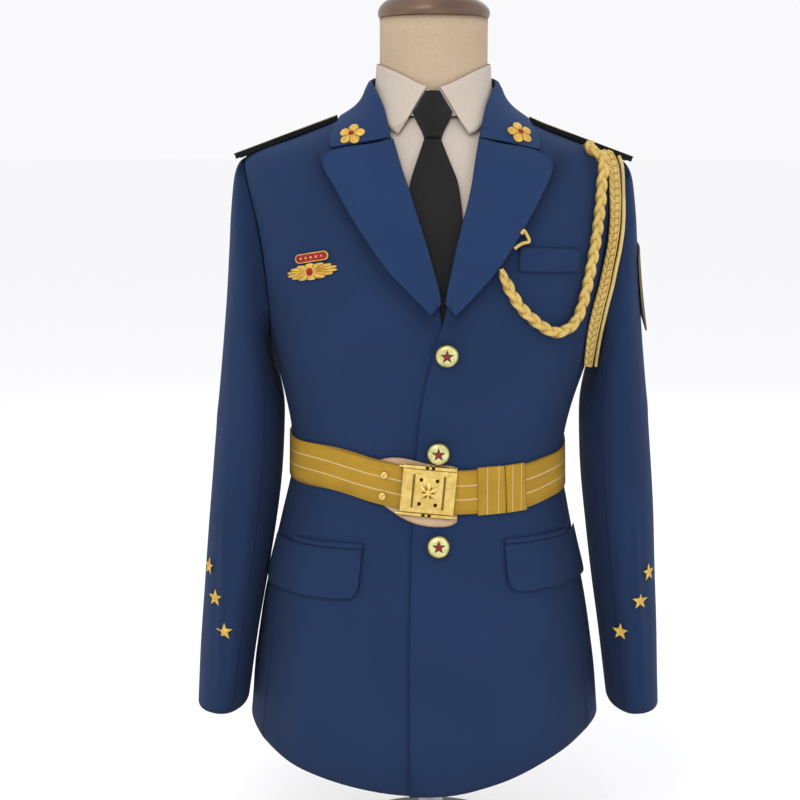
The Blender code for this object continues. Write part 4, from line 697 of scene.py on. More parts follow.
def makeBand():
    # flat braid: two rows of lobes slanted to each other, beside a plain round border; the lobes rise by
    # relief |sin(2 pi u)|^0.4 (0.3 + 0.7 |cos(pi (s / pitch + lean |2 u - 1| + [u > 0.5] / 2))|^0.7),
    # with u the share of the width up to the border and s the length
    look = braid
    rails = np.array(look["rails"])
    inner = smoothPath(rails[:, :3], look["count"])
    outer = smoothPath(rails[:, 3:], look["count"])
    across = outer - inner
    middle = (inner + outer) / 2
    ahead = unit(np.gradient(middle, axis=0))
    out = unit(np.cross(ahead, across))
    out = out * np.where((out @ np.array(look["facing"])) < 0, -1.0, 1.0)[:, None]
    along = pathLength(middle)
    share = (np.arange(look["columns"]) + 0.5) / look["columns"]
    rounding = np.sqrt(1 - np.abs(2 * share - 1) ** 6) * look["thick"] / 2
    woven = (share < look["border"])[None, :]
    inside = np.clip(share / look["border"], 0, 1)
    outside = np.clip((share - look["border"]) / (1 - look["border"]), 0, 1)
    lean = np.abs(inside - 0.5) * 2 * look["lean"]
    ridge = np.abs(np.sin(2 * np.pi * inside)) ** 0.4
    turn = along[:, None] / look["pitch"] + lean[None, :] + 0.5 * (inside > 0.5)[None, :]
    lobe = np.abs(np.cos(np.pi * turn)) ** 0.7
    weave = ridge[None, :] * (0.3 + 0.7 * lobe)
    border = np.sqrt(np.clip(np.sin(np.pi * outside), 0, 1))[None, :] + 0 * lobe
    rise = look["relief"] * np.where(woven, weave, 0.8 * border)
    # painted shade in the low places between the lobes and at the border's edges
    low = np.where(woven, smoothStep((0.62 - ridge[None, :] * lobe) / 0.5), 1 - border) * 0.85
    place = inner[:, None] + share[None, :, None] * across[:, None]
    front = place + (rounding[None, :] + rise - look["relief"] * 0.5)[..., None] * out[:, None]
    back = place - rounding[None, :, None] * out[:, None]
    grid = np.concatenate([front, back[:, ::-1]], axis=1)
    shape = Shape()
    shape.add(grid, along, np.concatenate([low, 0 * low], axis=1))
    made = addPiece("braidBand", shape.mesh("braidBand", cordSharp), goldCord, ["braid_band"])
    return float(along[-1])


cordLengths = [makePlait(), makeBand()]
cordLengths.append(makeCord("edgeCord", edgeCord, "edge_cord", paleCord))
cordLengths.append(makeCord("lapelLoop", lapelLoop, "lapel_loop", goldCord))
print("stage: cords, lengths in metres", [round(length, 3) for length in cordLengths])

# Creases of the worn cloth in metres: from, to, half width, rise (a trough is below zero), waviness
jacketCreases = [
    ((-0.125, -0.110, 0.690), (-0.060, -0.125, 0.585), 0.010, 0.0017, 0.3),
    ((-0.150, -0.095, 0.665), (-0.090, -0.118, 0.590), 0.007, -0.0013, 0.2),
    ((0.140, -0.100, 0.640), (0.060, -0.125, 0.600), 0.009, 0.0017, 0.3),
    ((0.158, -0.080, 0.615), (0.085, -0.120, 0.585), 0.006, -0.0013, 0.3),
    ((0.110, -0.118, 0.700), (0.045, -0.130, 0.610), 0.011, 0.0012, 0.4),
    ((-0.190, -0.045, 0.720), (-0.165, -0.075, 0.610), 0.011, -0.0014, 0.4),
    ((0.192, -0.045, 0.700), (0.160, -0.080, 0.605), 0.010, -0.0014, 0.4),
    ((-0.108, -0.118, 0.470), (-0.100, -0.135, 0.340), 0.012, -0.0013, 0.4),
    ((-0.070, -0.128, 0.480), (-0.066, -0.145, 0.200), 0.016, 0.0020, 0.3),
    ((-0.150, -0.110, 0.360), (-0.165, -0.118, 0.185), 0.017, 0.0024, 0.4),
    ((0.070, -0.128, 0.480), (0.078, -0.145, 0.200), 0.015, 0.0018, 0.4),
    ((0.112, -0.120, 0.390), (0.128, -0.132, 0.190), 0.014, -0.0014, 0.3),
    ((0.160, -0.100, 0.380), (0.180, -0.105, 0.200), 0.016, 0.0022, 0.4),
    ((-0.215, -0.010, 0.420), (-0.228, -0.010, 0.215), 0.016, 0.0024, 0.4),
    ((0.205, -0.010, 0.430), (0.222, -0.010, 0.215), 0.015, 0.0022, 0.3),
    ((-0.120, 0.090, 0.640), (-0.030, 0.100, 0.590), 0.010, 0.0020, 0.5),
    ((-0.150, 0.075, 0.610), (-0.060, 0.098, 0.572), 0.007, -0.0014, 0.4),
    ((0.125, 0.090, 0.650), (0.035, 0.100, 0.585), 0.011, 0.0020, 0.4),
    ((0.150, 0.075, 0.600), (0.070, 0.098, 0.570), 0.007, -0.0014, 0.3),
    ((-0.090, 0.110, 0.520), (-0.110, 0.125, 0.240), 0.018, 0.0026, 0.4),
    ((-0.040, 0.108, 0.500), (-0.045, 0.130, 0.230), 0.014, -0.0014, 0.5),
    ((0.085, 0.110, 0.500), (0.105, 0.125, 0.230), 0.017, 0.0024, 0.3),
    ((0.035, 0.108, 0.520), (0.040, 0.130, 0.220), 0.013, -0.0012, 0.4),
    ((-0.140, 0.105, 0.840), (-0.170, 0.090, 0.700), 0.014, 0.0022, 0.4),
    ((0.140, 0.105, 0.850), (0.168, 0.090, 0.690), 0.014, 0.0022, 0.4),
    ((-0.060, 0.120, 0.900), (0.055, 0.120, 0.905), 0.010, -0.0010, 0.3),
    ((0.000, 0.118, 0.800), (0.000, 0.118, 0.650), 0.016, -0.0012, 0.2),
]
sleeveCreases = [
    ((-0.212, -0.070, 0.640), (-0.258, -0.030, 0.600), 0.010, 0.0022, 0.6),
    ((-0.205, -0.072, 0.605), (-0.262, -0.045, 0.560), 0.008, -0.0015, 0.5),
    ((-0.200, -0.060, 0.560), (-0.255, -0.066, 0.520), 0.009, 0.0018, 0.5),
    ((-0.236, -0.078, 0.800), (-0.228, -0.080, 0.660), 0.012, -0.0014, 0.5),
    ((-0.205, -0.040, 0.700), (-0.235, -0.072, 0.760), 0.009, 0.0020, 0.4),
    ((-0.252, -0.072, 0.500), (-0.265, -0.086, 0.235), 0.005, 0.0020, 0.2),
    ((-0.222, 0.060, 0.640), (-0.262, 0.030, 0.590), 0.010, 0.0022, 0.6),
    ((-0.215, 0.066, 0.600), (-0.266, 0.040, 0.545), 0.008, -0.0015, 0.5),
    ((-0.230, 0.070, 0.780), (-0.222, 0.072, 0.660), 0.012, -0.0014, 0.4),
    ((-0.235, 0.050, 0.470), (-0.262, 0.035, 0.300), 0.013, 0.0016, 0.4),
    ((0.212, -0.070, 0.650), (0.256, -0.034, 0.612), 0.010, 0.0022, 0.5),
    ((0.204, -0.072, 0.612), (0.262, -0.046, 0.566), 0.008, -0.0015, 0.6),
    ((0.200, -0.060, 0.566), (0.256, -0.064, 0.532), 0.009, 0.0016, 0.4),
    ((0.228, -0.070, 0.660), (0.240, -0.074, 0.500), 0.005, 0.0016, 0.3),
    ((0.244, -0.074, 0.500), (0.262, -0.088, 0.235), 0.005, 0.0020, 0.2),
    ((0.222, 0.060, 0.650), (0.262, 0.030, 0.600), 0.010, 0.0022, 0.6),
    ((0.215, 0.066, 0.608), (0.266, 0.040, 0.552), 0.008, -0.0015, 0.5),
    ((0.230, 0.070, 0.790), (0.222, 0.072, 0.670), 0.012, -0.0014, 0.4),
    ((0.235, 0.050, 0.480), (0.262, 0.035, 0.310), 0.013, 0.0016, 0.4),
]
# places that small pieces lie on, which stay smooth: middle, reach
calmPlaces = [
    ((0.013, -0.146, 0.692), 0.030), ((0.005, -0.130, 0.575), 0.030), ((0.005, -0.142, 0.463), 0.030),
    ((-0.142, -0.115, 0.790), 0.050), ((0.130, -0.125, 0.797), 0.055), ((-0.005, -0.130, 0.528), 0.060),
    ((0.150, -0.115, 0.720), 0.035), ((0.090, -0.140, 0.760), 0.030),
]

# factor of a ridge, share left at the ends, where the ends fade, slow unevenness in metres
creaseLook = {"ridge": 1.5, "ends": 0.25, "fadeIn": 0.30, "fadeOut": 0.35, "uneven": 0.00024}


def creaseRise(points, creases, calm=()):
    # sum of rise (0.25 + 0.75 ends) exp(-(distance from a wavy line / width)^2), plus a slow unevenness, and
    # none of it at calm places
    look = creaseLook
    total = np.zeros(len(points))
    for start, stop, width, rise, wave in creases:
        start = np.array(start)
        line = np.array(stop) - start
        length = np.linalg.norm(line)
        ahead = line / length
        share = np.clip((points - start) @ ahead / length, 0, 1)
        nearest = start + share[:, None] * line
        side = unit(np.cross(ahead, [0.0, 0.0, 1.0]) + np.array([1e-6, 0, 0]))
        nearest = nearest + (wave * width * np.sin(share * 5.1 + start[2] * 40))[:, None] * side
        distance = np.linalg.norm(points - nearest, axis=1)
        ends = smoothStep(share / look["fadeIn"]) * smoothStep((1 - share) / look["fadeOut"])
        rise = rise * (look["ridge"] if rise > 0 else 1.0)
        thick = width * (0.75 + 0.5 * share)
        total += rise * (look["ends"] + (1 - look["ends"]) * ends) * np.exp(-(distance / thick) ** 2)
    x, y, z = points.T
    slow = np.sin(31 * x + 17 * z + 1.3) * np.sin(23 * z + 29 * y) + 0.6 * np.sin(57 * x - 41 * z + 19 * y)
    total += look["uneven"] * slow
    for middle, reach in calm:
        away = np.linalg.norm(points - np.array(middle), axis=1)
        total *= smoothStep((away - 0.6 * reach) / (0.6 * reach))
    return total


# Middle line of an arm: across at three heights, forward at the lower two, and across for its map
armAxis = {
    "heights": (0.23, 0.55, 0.90), "across": (0.2570, 0.2285, 0.2220), "forward": (0.023, 0.004),
    "middle": 0.235,
}
bodyNarrow = 0.55        # share of the direction across that counts on the body


def outward(points, kind):
    # level direction away from the body's axis, or from the arm's
    level = points * (1.0, 1.0, 0.0)
    if kind == "sleeve":
        level[:, 0] -= np.sign(points[:, 0]) * np.interp(points[:, 2], armAxis["heights"], armAxis["across"])
        level[:, 1] += np.interp(points[:, 2], armAxis["heights"][:2], armAxis["forward"])
    else:
        level[:, 0] *= bodyNarrow
    return unit(level)


# Shells: degrees at which edges stay sharp, triangles join and shading breaks; metres to merge
shells = {"sharp": 50.0, "join": 25.0, "skew": 60.0, "shading": 55.0, "merge": 0.00002}


def shellMesh(node, levels):
    # the solid's form with its triangles merged to four-sided faces and its edges kept, then subdivided
    work = bmesh.new()
    work.from_mesh(cadNodes[node].data)
    bmesh.ops.remove_doubles(work, verts=work.verts, dist=shells["merge"])
    sharp = math.radians(shells["sharp"])
    bmesh.ops.join_triangles(work, faces=work.faces, angle_face_threshold=math.radians(shells["join"]),
                             angle_shape_threshold=math.radians(shells["skew"]))
    crease = work.edges.layers.float.new("crease_edge")
    edge = work.verts.layers.float.new("edge")
    for line in work.edges:
        if len(line.link_faces) == 2 and line.calc_face_angle(0.0) > sharp:
            line[crease] = 1.0
            line.verts[0][edge] = 1.0
            line.verts[1][edge] = 1.0
    mesh = bpy.data.meshes.new(node + "_shell")
    work.to_mesh(mesh)
    work.free()
    helper = bpy.data.objects.new(node + "_helper", mesh)
    bpy.context.scene.collection.objects.link(helper)
    soften = helper.modifiers.new("soften", "SUBSURF")
    soften.levels = levels
    soften.render_levels = levels
    soften.boundary_smooth = "PRESERVE_CORNERS"
    soften.use_limit_surface = False
    view = helper.evaluated_get(bpy.context.evaluated_depsgraph_get())
    made = bpy.data.meshes.new_from_object(view)
    bpy.data.objects.remove(helper, do_unlink=True)
    made.shade_smooth()
    made.set_sharp_from_angle(angle=math.radians(shells["shading"]))
    return made


mapRadius = {"sleeve": 0.080, "jacket": 0.170, "body": 0.060}     # metres on the maps for each radian of turn


def weaveMap(mesh, kind):
    # map of metres round the axis and up, kept whole across the back
    points = pointsOf(mesh)
    level = points.copy()
    if kind == "sleeve":
        level[:, 0] -= np.sign(points[:, 0]) * armAxis["middle"]
    turn = np.arctan2(level[:, 0], -level[:, 1])
    index = cornerPoints(mesh)
    starts = np.empty(len(mesh.polygons), dtype=np.int64)
    totals = np.empty(len(mesh.polygons), dtype=np.int64)
    mesh.polygons.foreach_get("loop_start", starts)
    mesh.polygons.foreach_get("loop_total", totals)
    first = np.repeat(turn[index[starts]], totals)
    corner = turn[index]
    corner = corner - 2 * np.pi * np.round((corner - first) / (2 * np.pi))
    storeMap(mesh, "weave", np.stack([corner * mapRadius[kind], points[index, 2]], axis=1))


# Belt: angle and height of its middle, width, the body's middle and depth for angles, metres for a degree
belt = {
    "line": [
        (-180.0, 0.5480), (-120.0, 0.5500), (-80.0, 0.5490), (-42.0, 0.5500), (-19.5, 0.5380), (0.0, 0.5285),
        (20.0, 0.5264), (39.0, 0.5274), (52.0, 0.5330), (70.6, 0.5365), (120.0, 0.5450), (180.0, 0.5480),
    ],
    "width": 0.053, "middle": -0.006, "deep": 1.45, "scale": 0.003, "count": 400,
}


def strapMap(mesh):
    # length round the body, and share of the belt's width up from its lower edge
    x, y, z = pointsOf(mesh).T
    turn = np.arctan2(x - belt["middle"], -y * belt["deep"])
    angles, heights = smoothPath(np.array(belt["line"]) * (belt["scale"], 1.0), belt["count"]).T
    share = (z - np.interp(np.degrees(turn) * belt["scale"], angles, heights)) / belt["width"] + 0.5
    index = cornerPoints(mesh)
    storeMap(mesh, "strap", np.stack([turn[index] * mapRadius["jacket"], share[index]], axis=1))


def keeperMap(mesh):
    # share across the keeper, and height
    points = pointsOf(mesh)
    x = points[:, 0]
    share = (x - x.min()) / (x.max() - x.min())
    index = cornerPoints(mesh)
    storeMap(mesh, "strap", np.stack([share[index], points[index, 2]], axis=1))


# Cloth pieces: node, kind, subdivisions, flat width and length that show, how it is held, area that shows
clothPieces = [
    ("front_right", "jacket", 3, 0.310, 0.830, "draped", 0.1889),
    ("front_left", "jacket", 3, 0.300, 0.830, "draped", 0.1787),
    ("side_body_right", "jacket", 2, 0.140, 0.530, "draped", 0.0549),
    ("side_body_left", "jacket", 2, 0.140, 0.520, "draped", 0.0541),
    ("back_right", "jacket", 3, 0.285, 0.790, "draped", 0.1724),
    ("back_left", "jacket", 3, 0.285, 0.790, "draped", 0.1722),
    ("lapel_right", "lapel", 3, 0.110, 0.205, "folded", 0.0141),
    ("lapel_left", "lapel", 3, 0.110, 0.205, "folded", 0.0142),
    ("collar", "collar", 3, 0.090, 0.520, "folded", 0.0374),
    ("top_sleeve_right", "sleeve", 3, 0.250, 0.690, "hung", 0.1364),
    ("top_sleeve_left", "sleeve", 3, 0.250, 0.690, "hung", 0.1358),
    ("under_sleeve_right", "sleeve", 2, 0.170, 0.540, "hung", 0.0708),
    ("under_sleeve_left", "sleeve", 2, 0.170, 0.540, "hung", 0.0706),
    ("pocket_flap_right", "flap", 2, 0.158, 0.068, "hung", 0.0098),
    ("pocket_flap_left", "flap", 2, 0.158, 0.064, "hung", 0.0094),
    ("pocket_jet_right", "flap", 2, 0.100, 0.010, "folded", 0.00080),
    ("pocket_jet_left", "flap", 2, 0.100, 0.010, "folded", 0.00080),
    ("chest_welt", "flap", 2, 0.085, 0.030, "folded", 0.0023),
    ("shirt_front_right", "shirt", 2, 0.290, 0.690, "draped", 0.1668),
    ("shirt_front_left", "shirt", 2, 0.290, 0.690, "draped", 0.1658),
    ("shirt_back_right", "shirt", 2, 0.280, 0.690, "draped", 0.1624),
    ("shirt_back_left", "shirt", 2, 0.280, 0.690, "draped", 0.1622),
    ("shirt_collar_stand", "shirt", 2, 0.050, 0.450, "folded", 0.0213),
    ("shirt_collar_leaf", "shirt", 2, 0.050, 0.480, "folded", 0.0188),
    ("tie_blade", "tie", 2, 0.078, 0.245, "hung", 0.0155),
    ("tie_knot", "tie", 2, 0.036, 0.070, "folded", 0.0023),
    ("belt_strap", "belt", 2, 0.055, 0.910, "stretched", 0.0481),
    ("belt_keeper_inner", "keeper", 2, 0.042, 0.056, "folded", 0.0022),
    ("belt_keeper_outer", "keeper", 2, 0.034, 0.056, "folded", 0.0017),
    ("buckle_tab", "tab", 3, 0.110, 0.076, "laid", 0.0068),
    ("arm_patch", "patch", 3, 0.085, 0.095, "laid", 0.0073),
]
# what each kind is made of, its slot, and what it lies on ({side} stands for the piece's own side)
clothKinds = {
    "jacket": (jacketCloth, "jacket_cloth", ["form_torso"]),
    "flap": (jacketCloth, "jacket_cloth", ["front_{side}"]),
    "lapel": (litJacketCloth, "jacket_cloth", ["front_{side}"]),
    "collar": (litJacketCloth, "jacket_cloth", ["back_left", "back_right"]),
    "sleeve": (shadedJacketCloth, "jacket_cloth", ["front_{side}", "back_{side}"]),
    "shirt": (shirtCloth, "shirt_cloth", ["form_torso"]),
    "tie": (tieCloth, "tie_cloth", ["shirt_front_left", "shirt_front_right"]),
    "belt": (beltWeb, "belt_webbing", ["front_left", "front_right", "back_left", "back_right"]),
    "keeper": (keeperWeb, "belt_webbing", ["belt_strap"]),
    "tab": (tanLeather, "tab_leather", ["front_left", "front_right"]),
    "patch": (patchCloth, "board_cloth", ["top_sleeve_left"]),
}
# node, subdivisions, material, slot
firmPieces = [
    ("form_torso", 2, linenCloth, "form_linen"),
    ("form_neck_cap", 3, capWood, "cap_wood"),
    ("stand_base", 2, blackSteel, "stand_steel"),
    ("stand_pole", 2, poleSteel, "stand_steel"),
    ("shoulder_board_right", 2, feltCloth, "board_cloth"),
    ("shoulder_board_left", 2, feltCloth, "board_cloth"),
]

# Outer edge of a lapel: distance across from the front's middle line, height
lapelEdge = [
    (0.0140, 0.7280), (0.0430, 0.7570), (0.0690, 0.7850), (0.0890, 0.8150), (0.1070, 0.8450),
    (0.1230, 0.8750), (0.1380, 0.9080),
]
# Soft shading: depths, the heights below which sleeve, side and hem darken, and the front's middle line
shading = {
    "lapel": 0.75, "lapelReach": 0.012, "sleeve": 0.75, "side": 0.55, "hem": 0.30, "most": 0.9,
    "sleeveTop": 0.86, "sideTop": 0.80, "hemTop": 0.26, "middle": 0.0065,
}


def clothShade(points, kind):
    # soft darkening where the cloth turns away from the light or lies under an edge
    look = shading
    x, y, z = points.T
    out = outward(points, kind)
    if kind == "sleeve":
        inner = -np.sign(x) * out[:, 0]
        return look["sleeve"] * smoothStep((inner + 0.1) / 0.8) * smoothStep((look["sleeveTop"] - z) / 0.10)
    side = smoothStep((np.abs(out[:, 0]) - 0.45) / 0.45) * smoothStep((look["sideTop"] - z) / 0.06)
    shade = look["side"] * side + look["hem"] * smoothStep((look["hemTop"] - z) / 0.11)
    edge = np.array(lapelEdge)
    place = np.stack([np.abs(x - look["middle"]), z], axis=1)
    nearest = np.full(len(points), 1.0)
    for start, stop in zip(edge[:-1], edge[1:]):
        line = stop - start
        share = np.clip((place - start) @ line / (line @ line), 0, 1)
        nearest = np.minimum(nearest, np.linalg.norm(place - start - share[:, None] * line, axis=1))
    front = smoothStep((-y - 0.03) / 0.03)
    shade = shade + look["lapel"] * front * np.exp(-(nearest / look["lapelReach"]) ** 1.2)
    return np.clip(shade, 0, look["most"])


# Where creases fade out: middle height, half width and fade of the belt's band; top and fade of a sleeve
creaseFade = {"belt": (0.535, 0.034, 0.020), "sleeve": (0.885, 0.06)}


def clothRise(points, kind):
    # how far the points of a cloth piece move outward: nothing under the belt and at the head of a sleeve
    z = points[:, 2]
    if kind in ("jacket", "flap"):
        middle, half, fade = creaseFade["belt"]
        return creaseRise(points, jacketCreases, calmPlaces) * smoothStep((np.abs(z - middle) - half) / fade)
    if kind == "sleeve":
        top, fade = creaseFade["sleeve"]
        return creaseRise(points, sleeveCreases) * smoothStep((top - z) / fade)
    if kind in ("lapel", "collar", "shirt"):
        return creaseRise(points, [])
    return np.zeros(len(points))


def layCloth():
    # each cloth piece: its solid's form, creased by moving its points outward
    for node, kind, levels, width, length, held, area in clothPieces:
        material, slot, rests = clothKinds[kind]
        side = "right" if node.endswith("right") else "left"
        lie = "sleeve" if kind == "sleeve" else "jacket"
        mesh = shellMesh(node, levels)
        points = pointsOf(mesh)
        points = points + outward(points, lie) * clothRise(points, kind)[:, None]
        movePoints(mesh, points)
        weaveMap(mesh, lie)
        if kind == "belt":
            strapMap(mesh)
        if kind == "keeper":
            keeperMap(mesh)
        if kind in ("jacket", "flap", "sleeve"):
            storeNumber(mesh, "shade", clothShade(points, lie))
        made = addPiece(node + "_shell", mesh, material, [node])
        under = [rest.format(side=side) + "_shell" for rest in rests]


# Shoulder boards, their edging, and how the wearer's left one drops (start and reach across and up)
board = {
    "start": (0.1140, 0.9557), "slope": -0.3690, "thick": 0.0048, "fill": 0.0016,
    "trim": 0.0006, "inset": 0.0006, "sink": 0.0012, "steps": 60,
    "drop": 0.0035, "dropAcross": (0.085, 0.050), "dropUp": (0.820, 0.080),
}
# place across, half width front to back
boardWidths = [
    (0.1140, 0.0110), (0.1180, 0.0170), (0.1270, 0.0215), (0.1500, 0.0240), (0.2000, 0.0255),
    (0.2350, 0.0260),
]


def fillBoard(mesh):
    # moves the underside of a shoulder board down onto the cloth
    points = pointsOf(mesh)
    out = unit(np.array([-np.sign(points[:, 0].mean()) * board["slope"], 0.0, 1.0]))
    rise = points @ out
    under = rise < (rise.min() + rise.max()) / 2
    movePoints(mesh, points - board["fill"] * under[:, None] * out)


for node, levels, material, slot in firmPieces:
    firm = shellMesh(node, levels)
    if slot == "board_cloth":
        fillBoard(firm)
    weaveMap(firm, "body")
    addPiece(node + "_shell", firm, material, [node])
layCloth()
print("stage: cloth laid")


# Small raised pieces
def seatOf(node, turn=0.0):
    # place, across, up and out of a small flat solid; turn is in degrees, clockwise seen from outside
    points = pointsOf(cadNodes[node].data)
    middle = points.mean(axis=0)
    out = np.linalg.svd(points - middle, full_matrices=False)[2][2]
    if out @ (middle * (1.0, 1.0, 0.0)) < 0:
        out = -out
    across = unit(np.cross([0.0, 0.0, 1.0], out))
    up = np.cross(out, across)
    bend = math.radians(turn)
    level, steep = math.cos(bend), math.sin(bend)
    rise = (points - middle) @ out
    aside = np.linalg.norm(points - middle - rise[:, None] * out, axis=1)
    low = rise[aside <= max(0.35 * aside.max(), 1.2 * aside.min())].min()
    place = middle + low * out
    return place, across * level - up * steep, up * level + across * steep, out


star = {"waist": 0.42, "count": 120}


def starOutline(radius):
    # straight-sided star: r = R w sin(pi/5) / (sin f + w sin(pi/5 - f)), w the waist, f the angle from a tip
    turn = np.arange(star["count"]) / star["count"] * 2 * np.pi
    step = np.pi / 5
    away = np.abs((turn + step) % (2 * step) - step)
    reach = star["waist"] * np.sin(step) / (np.sin(away) + star["waist"] * np.sin(step - away)) * radius
    return np.stack([reach * np.sin(turn), reach * np.cos(turn)], axis=-1)


def roundOutline(wide, tall, scallops=0, depth=0.0, count=120):
    # ellipse, with petals: 1 - depth (1 - |cos(scallops t / 2)|)
    turn = np.arange(count) / count * 2 * np.pi
    reach = 1 - depth * (1 - np.abs(np.cos(scallops * turn / 2)))
    return np.stack([wide * reach * np.sin(turn), tall * reach * np.cos(turn)], axis=-1)


def discOutline(radius, count=120):
    return roundOutline(radius, radius, count=count)


def barOutline(half, radius, count=60):
    # bar with round ends
    turn = (np.arange(count) + 0.5) / count * np.pi
    end = np.stack([half + radius * np.sin(turn), radius * np.cos(turn)], axis=-1)
    return np.concatenate([end, -end])


# Tops of raised pieces, as functions of the share s from the middle to the edge and the angle t
def evenTop(height):
    return lambda s, t: height + 0 * s


def domeTop(base, rise):
    # base + rise sqrt(1 - s^2)
    return lambda s, t: base + rise * np.sqrt(1 - s ** 2)


def grooves(waves, edge, soft, start, depth):
    # dark gaps between lobes: depth smooth((edge - |cos(waves t)|) / soft) smooth((s - start) / 0.2)
    return lambda s, t: (smoothStep((edge - np.abs(np.cos(waves * t))) / soft)
                         * smoothStep((s - start) / 0.2) * depth)


def addDome(shape, seat, outline, height, base=0.0, hollow=0.0, rings=14, low=None):
    # place + s (x across + y up) + (height(s, t) - hollow x^2 / 2) out over an outline, closed behind at base
    place, across, up, out = seat
    share = np.linspace(0.02, 1.0, rings) ** 0.8
    turn = np.arange(len(outline)) / len(outline) * 2 * np.pi
    flat = share[:, None, None] * outline[None]
    top = height(share[:, None], turn[None, :]) + 0 * flat[..., 0]
    back = np.array([1.0, 0.5, 0.02])[:, None, None] * outline[None]
    flat = np.concatenate([flat, back])
    rise = np.concatenate([top, np.full(back.shape[:2], base)]) - hollow * flat[..., 0] ** 2 / 2
    grid = place + flat[..., :1] * across + flat[..., 1:] * up + rise[..., None] * out
    shade = None
    if low is not None:
        shade = np.concatenate([low(share[:, None], turn[None, :]) + 0 * top, np.zeros(back.shape[:2])])
    shape.add(grid, None, shade)


# Buttons: radius and the dome's share of it, then heights of rim, crown, bead, dark ring and back
button = {
    "radius": 0.0131, "dome": 0.965, "rim": 0.0022, "crown": 0.0056, "beadAt": 0.93, "bead": 0.0006,
    "ring": 0.0016, "back": 0.0004,
}
# the two stars on a button, one over the other: radius, lift, extra height of the middle
buttonStars = {"dark": (0.0083, 0.00025, 0.0), "red": (0.0058, 0.00045, 0.0009)}


def buttonDome(share):
    # dome: rim + (crown - rim) (1 - (s / 0.93)^2)^0.6, and past it a rim with a bead
    inside = share / button["beadAt"]
    dome = button["rim"] + (button["crown"] - button["rim"]) * np.clip(1 - inside ** 2, 0, 1) ** 0.6
    outside = np.clip((share - button["beadAt"]) / 0.07, 0, 1)
    bead = button["rim"] + button["bead"] * np.sin(np.pi * outside)
    return np.where(share < button["beadAt"], dome, bead)


def makeButtons():
    dome, ring, red, dark = Shape(), Shape(), Shape(), Shape()
    nodes = ["button_top", "button_middle", "button_bottom"]
    size = button["radius"]
    inner = size * button["dome"]
    for node in nodes:
        seat = seatOf(node)
        addDome(dome, seat, discOutline(inner), lambda s, t: buttonDome(s), button["back"], rings=24)
        addDome(ring, seat, discOutline(size), evenTop(button["ring"]))
        for shape, (radius, lift, middle) in ((dark, buttonStars["dark"]), (red, buttonStars["red"])):
            outline = starOutline(radius)
            spread = np.linalg.norm(outline, axis=1) / (button["dome"] * size)

            def height(s, t, lift=lift, middle=middle, spread=spread):
                return buttonDome(s * spread[None, :]) + lift + middle * (1 - s)

            addDome(shape, seat, outline, height, button["rim"])
    addPiece("buttonDomes", dome.mesh("buttonDomes"), paleGold, nodes)
    addPiece("buttonRims", ring.mesh("buttonRims"), darkGold)
    addPiece("buttonStars", red.mesh("buttonStars", 12.0), redEnamel)
    addPiece("buttonStarEdges", dark.mesh("buttonStarEdges", 30.0), darkEnamel)


cuffStar = {"radius": 0.0108, "edge": 0.0008, "ridge": 0.0022, "hollow": 12.0}


def makeStars():
    # five-pointed stars with straight ridges: height edge + ridge (1 - s)
    shape = Shape()
    look = cuffStar
    nodes = ["cuff_star_%s_%d" % (word, number) for word in ("right", "left") for number in (1, 2, 3)]

    def height(s, t):
        return look["edge"] + look["ridge"] * (1 - s)

    for node in nodes:
        addDome(shape, seatOf(node), starOutline(look["radius"]), height, hollow=look["hollow"])
    addPiece("cuffStars", shape.mesh("cuffStars", 12.0), starGold, nodes)


# Collar devices: radius, notches between petals, curve of the back, ring and centre
rosette = {"radius": 0.0155, "notch": 0.34, "hollow": 5.0, "ring": 0.0046, "centre": 0.0036}


def makeDevices():
    # five-petalled rosette with a red centre, one on each end of the collar
    gold, red = Shape(), Shape()
    look = rosette
    nodes = ["collar_device_right", "collar_device_left"]
    outline = roundOutline(look["radius"], look["radius"], 5, look["notch"])
    low = grooves(2.5, 0.35, 0.3, 0.2, 0.8)

    def petals(s, t):
        ridge = np.abs(np.cos(2.5 * t))
        vein = np.exp(-((1 - ridge) / 0.02) ** 2)
        return 0.0009 + 0.0016 * ridge ** 0.7 * np.sin(np.pi * s ** 0.8) - 0.0004 * vein * s

    for node in nodes:
        seat = seatOf(node)
        addDome(gold, seat, outline, petals, hollow=look["hollow"], rings=20, low=low)
        addDome(gold, seat, discOutline(look["ring"]), evenTop(0.0028), 0.0010)
        addDome(red, seat, discOutline(look["centre"]), domeTop(0.0030, 0.0011), 0.0012)
    addPiece("collarRosettes", gold.mesh("collarRosettes"), starGold, nodes)
    addPiece("collarCentres", red.mesh("collarCentres"), redEnamel)


# Breast badge: tilt and curve, the spray with its ring and centre, the bar (half length, end radius), studs
badge = {
    "tilt": -10.0, "hollow": 7.5, "wide": 0.0330, "tall": 0.0095, "leaves": 14, "notch": 0.15,
    "ring": 0.0062, "centre": 0.0046, "bar": (0.0160, 0.0052), "enamel": (0.0156, 0.0042),
    "stud": 0.0014, "studStep": 0.0066,
}


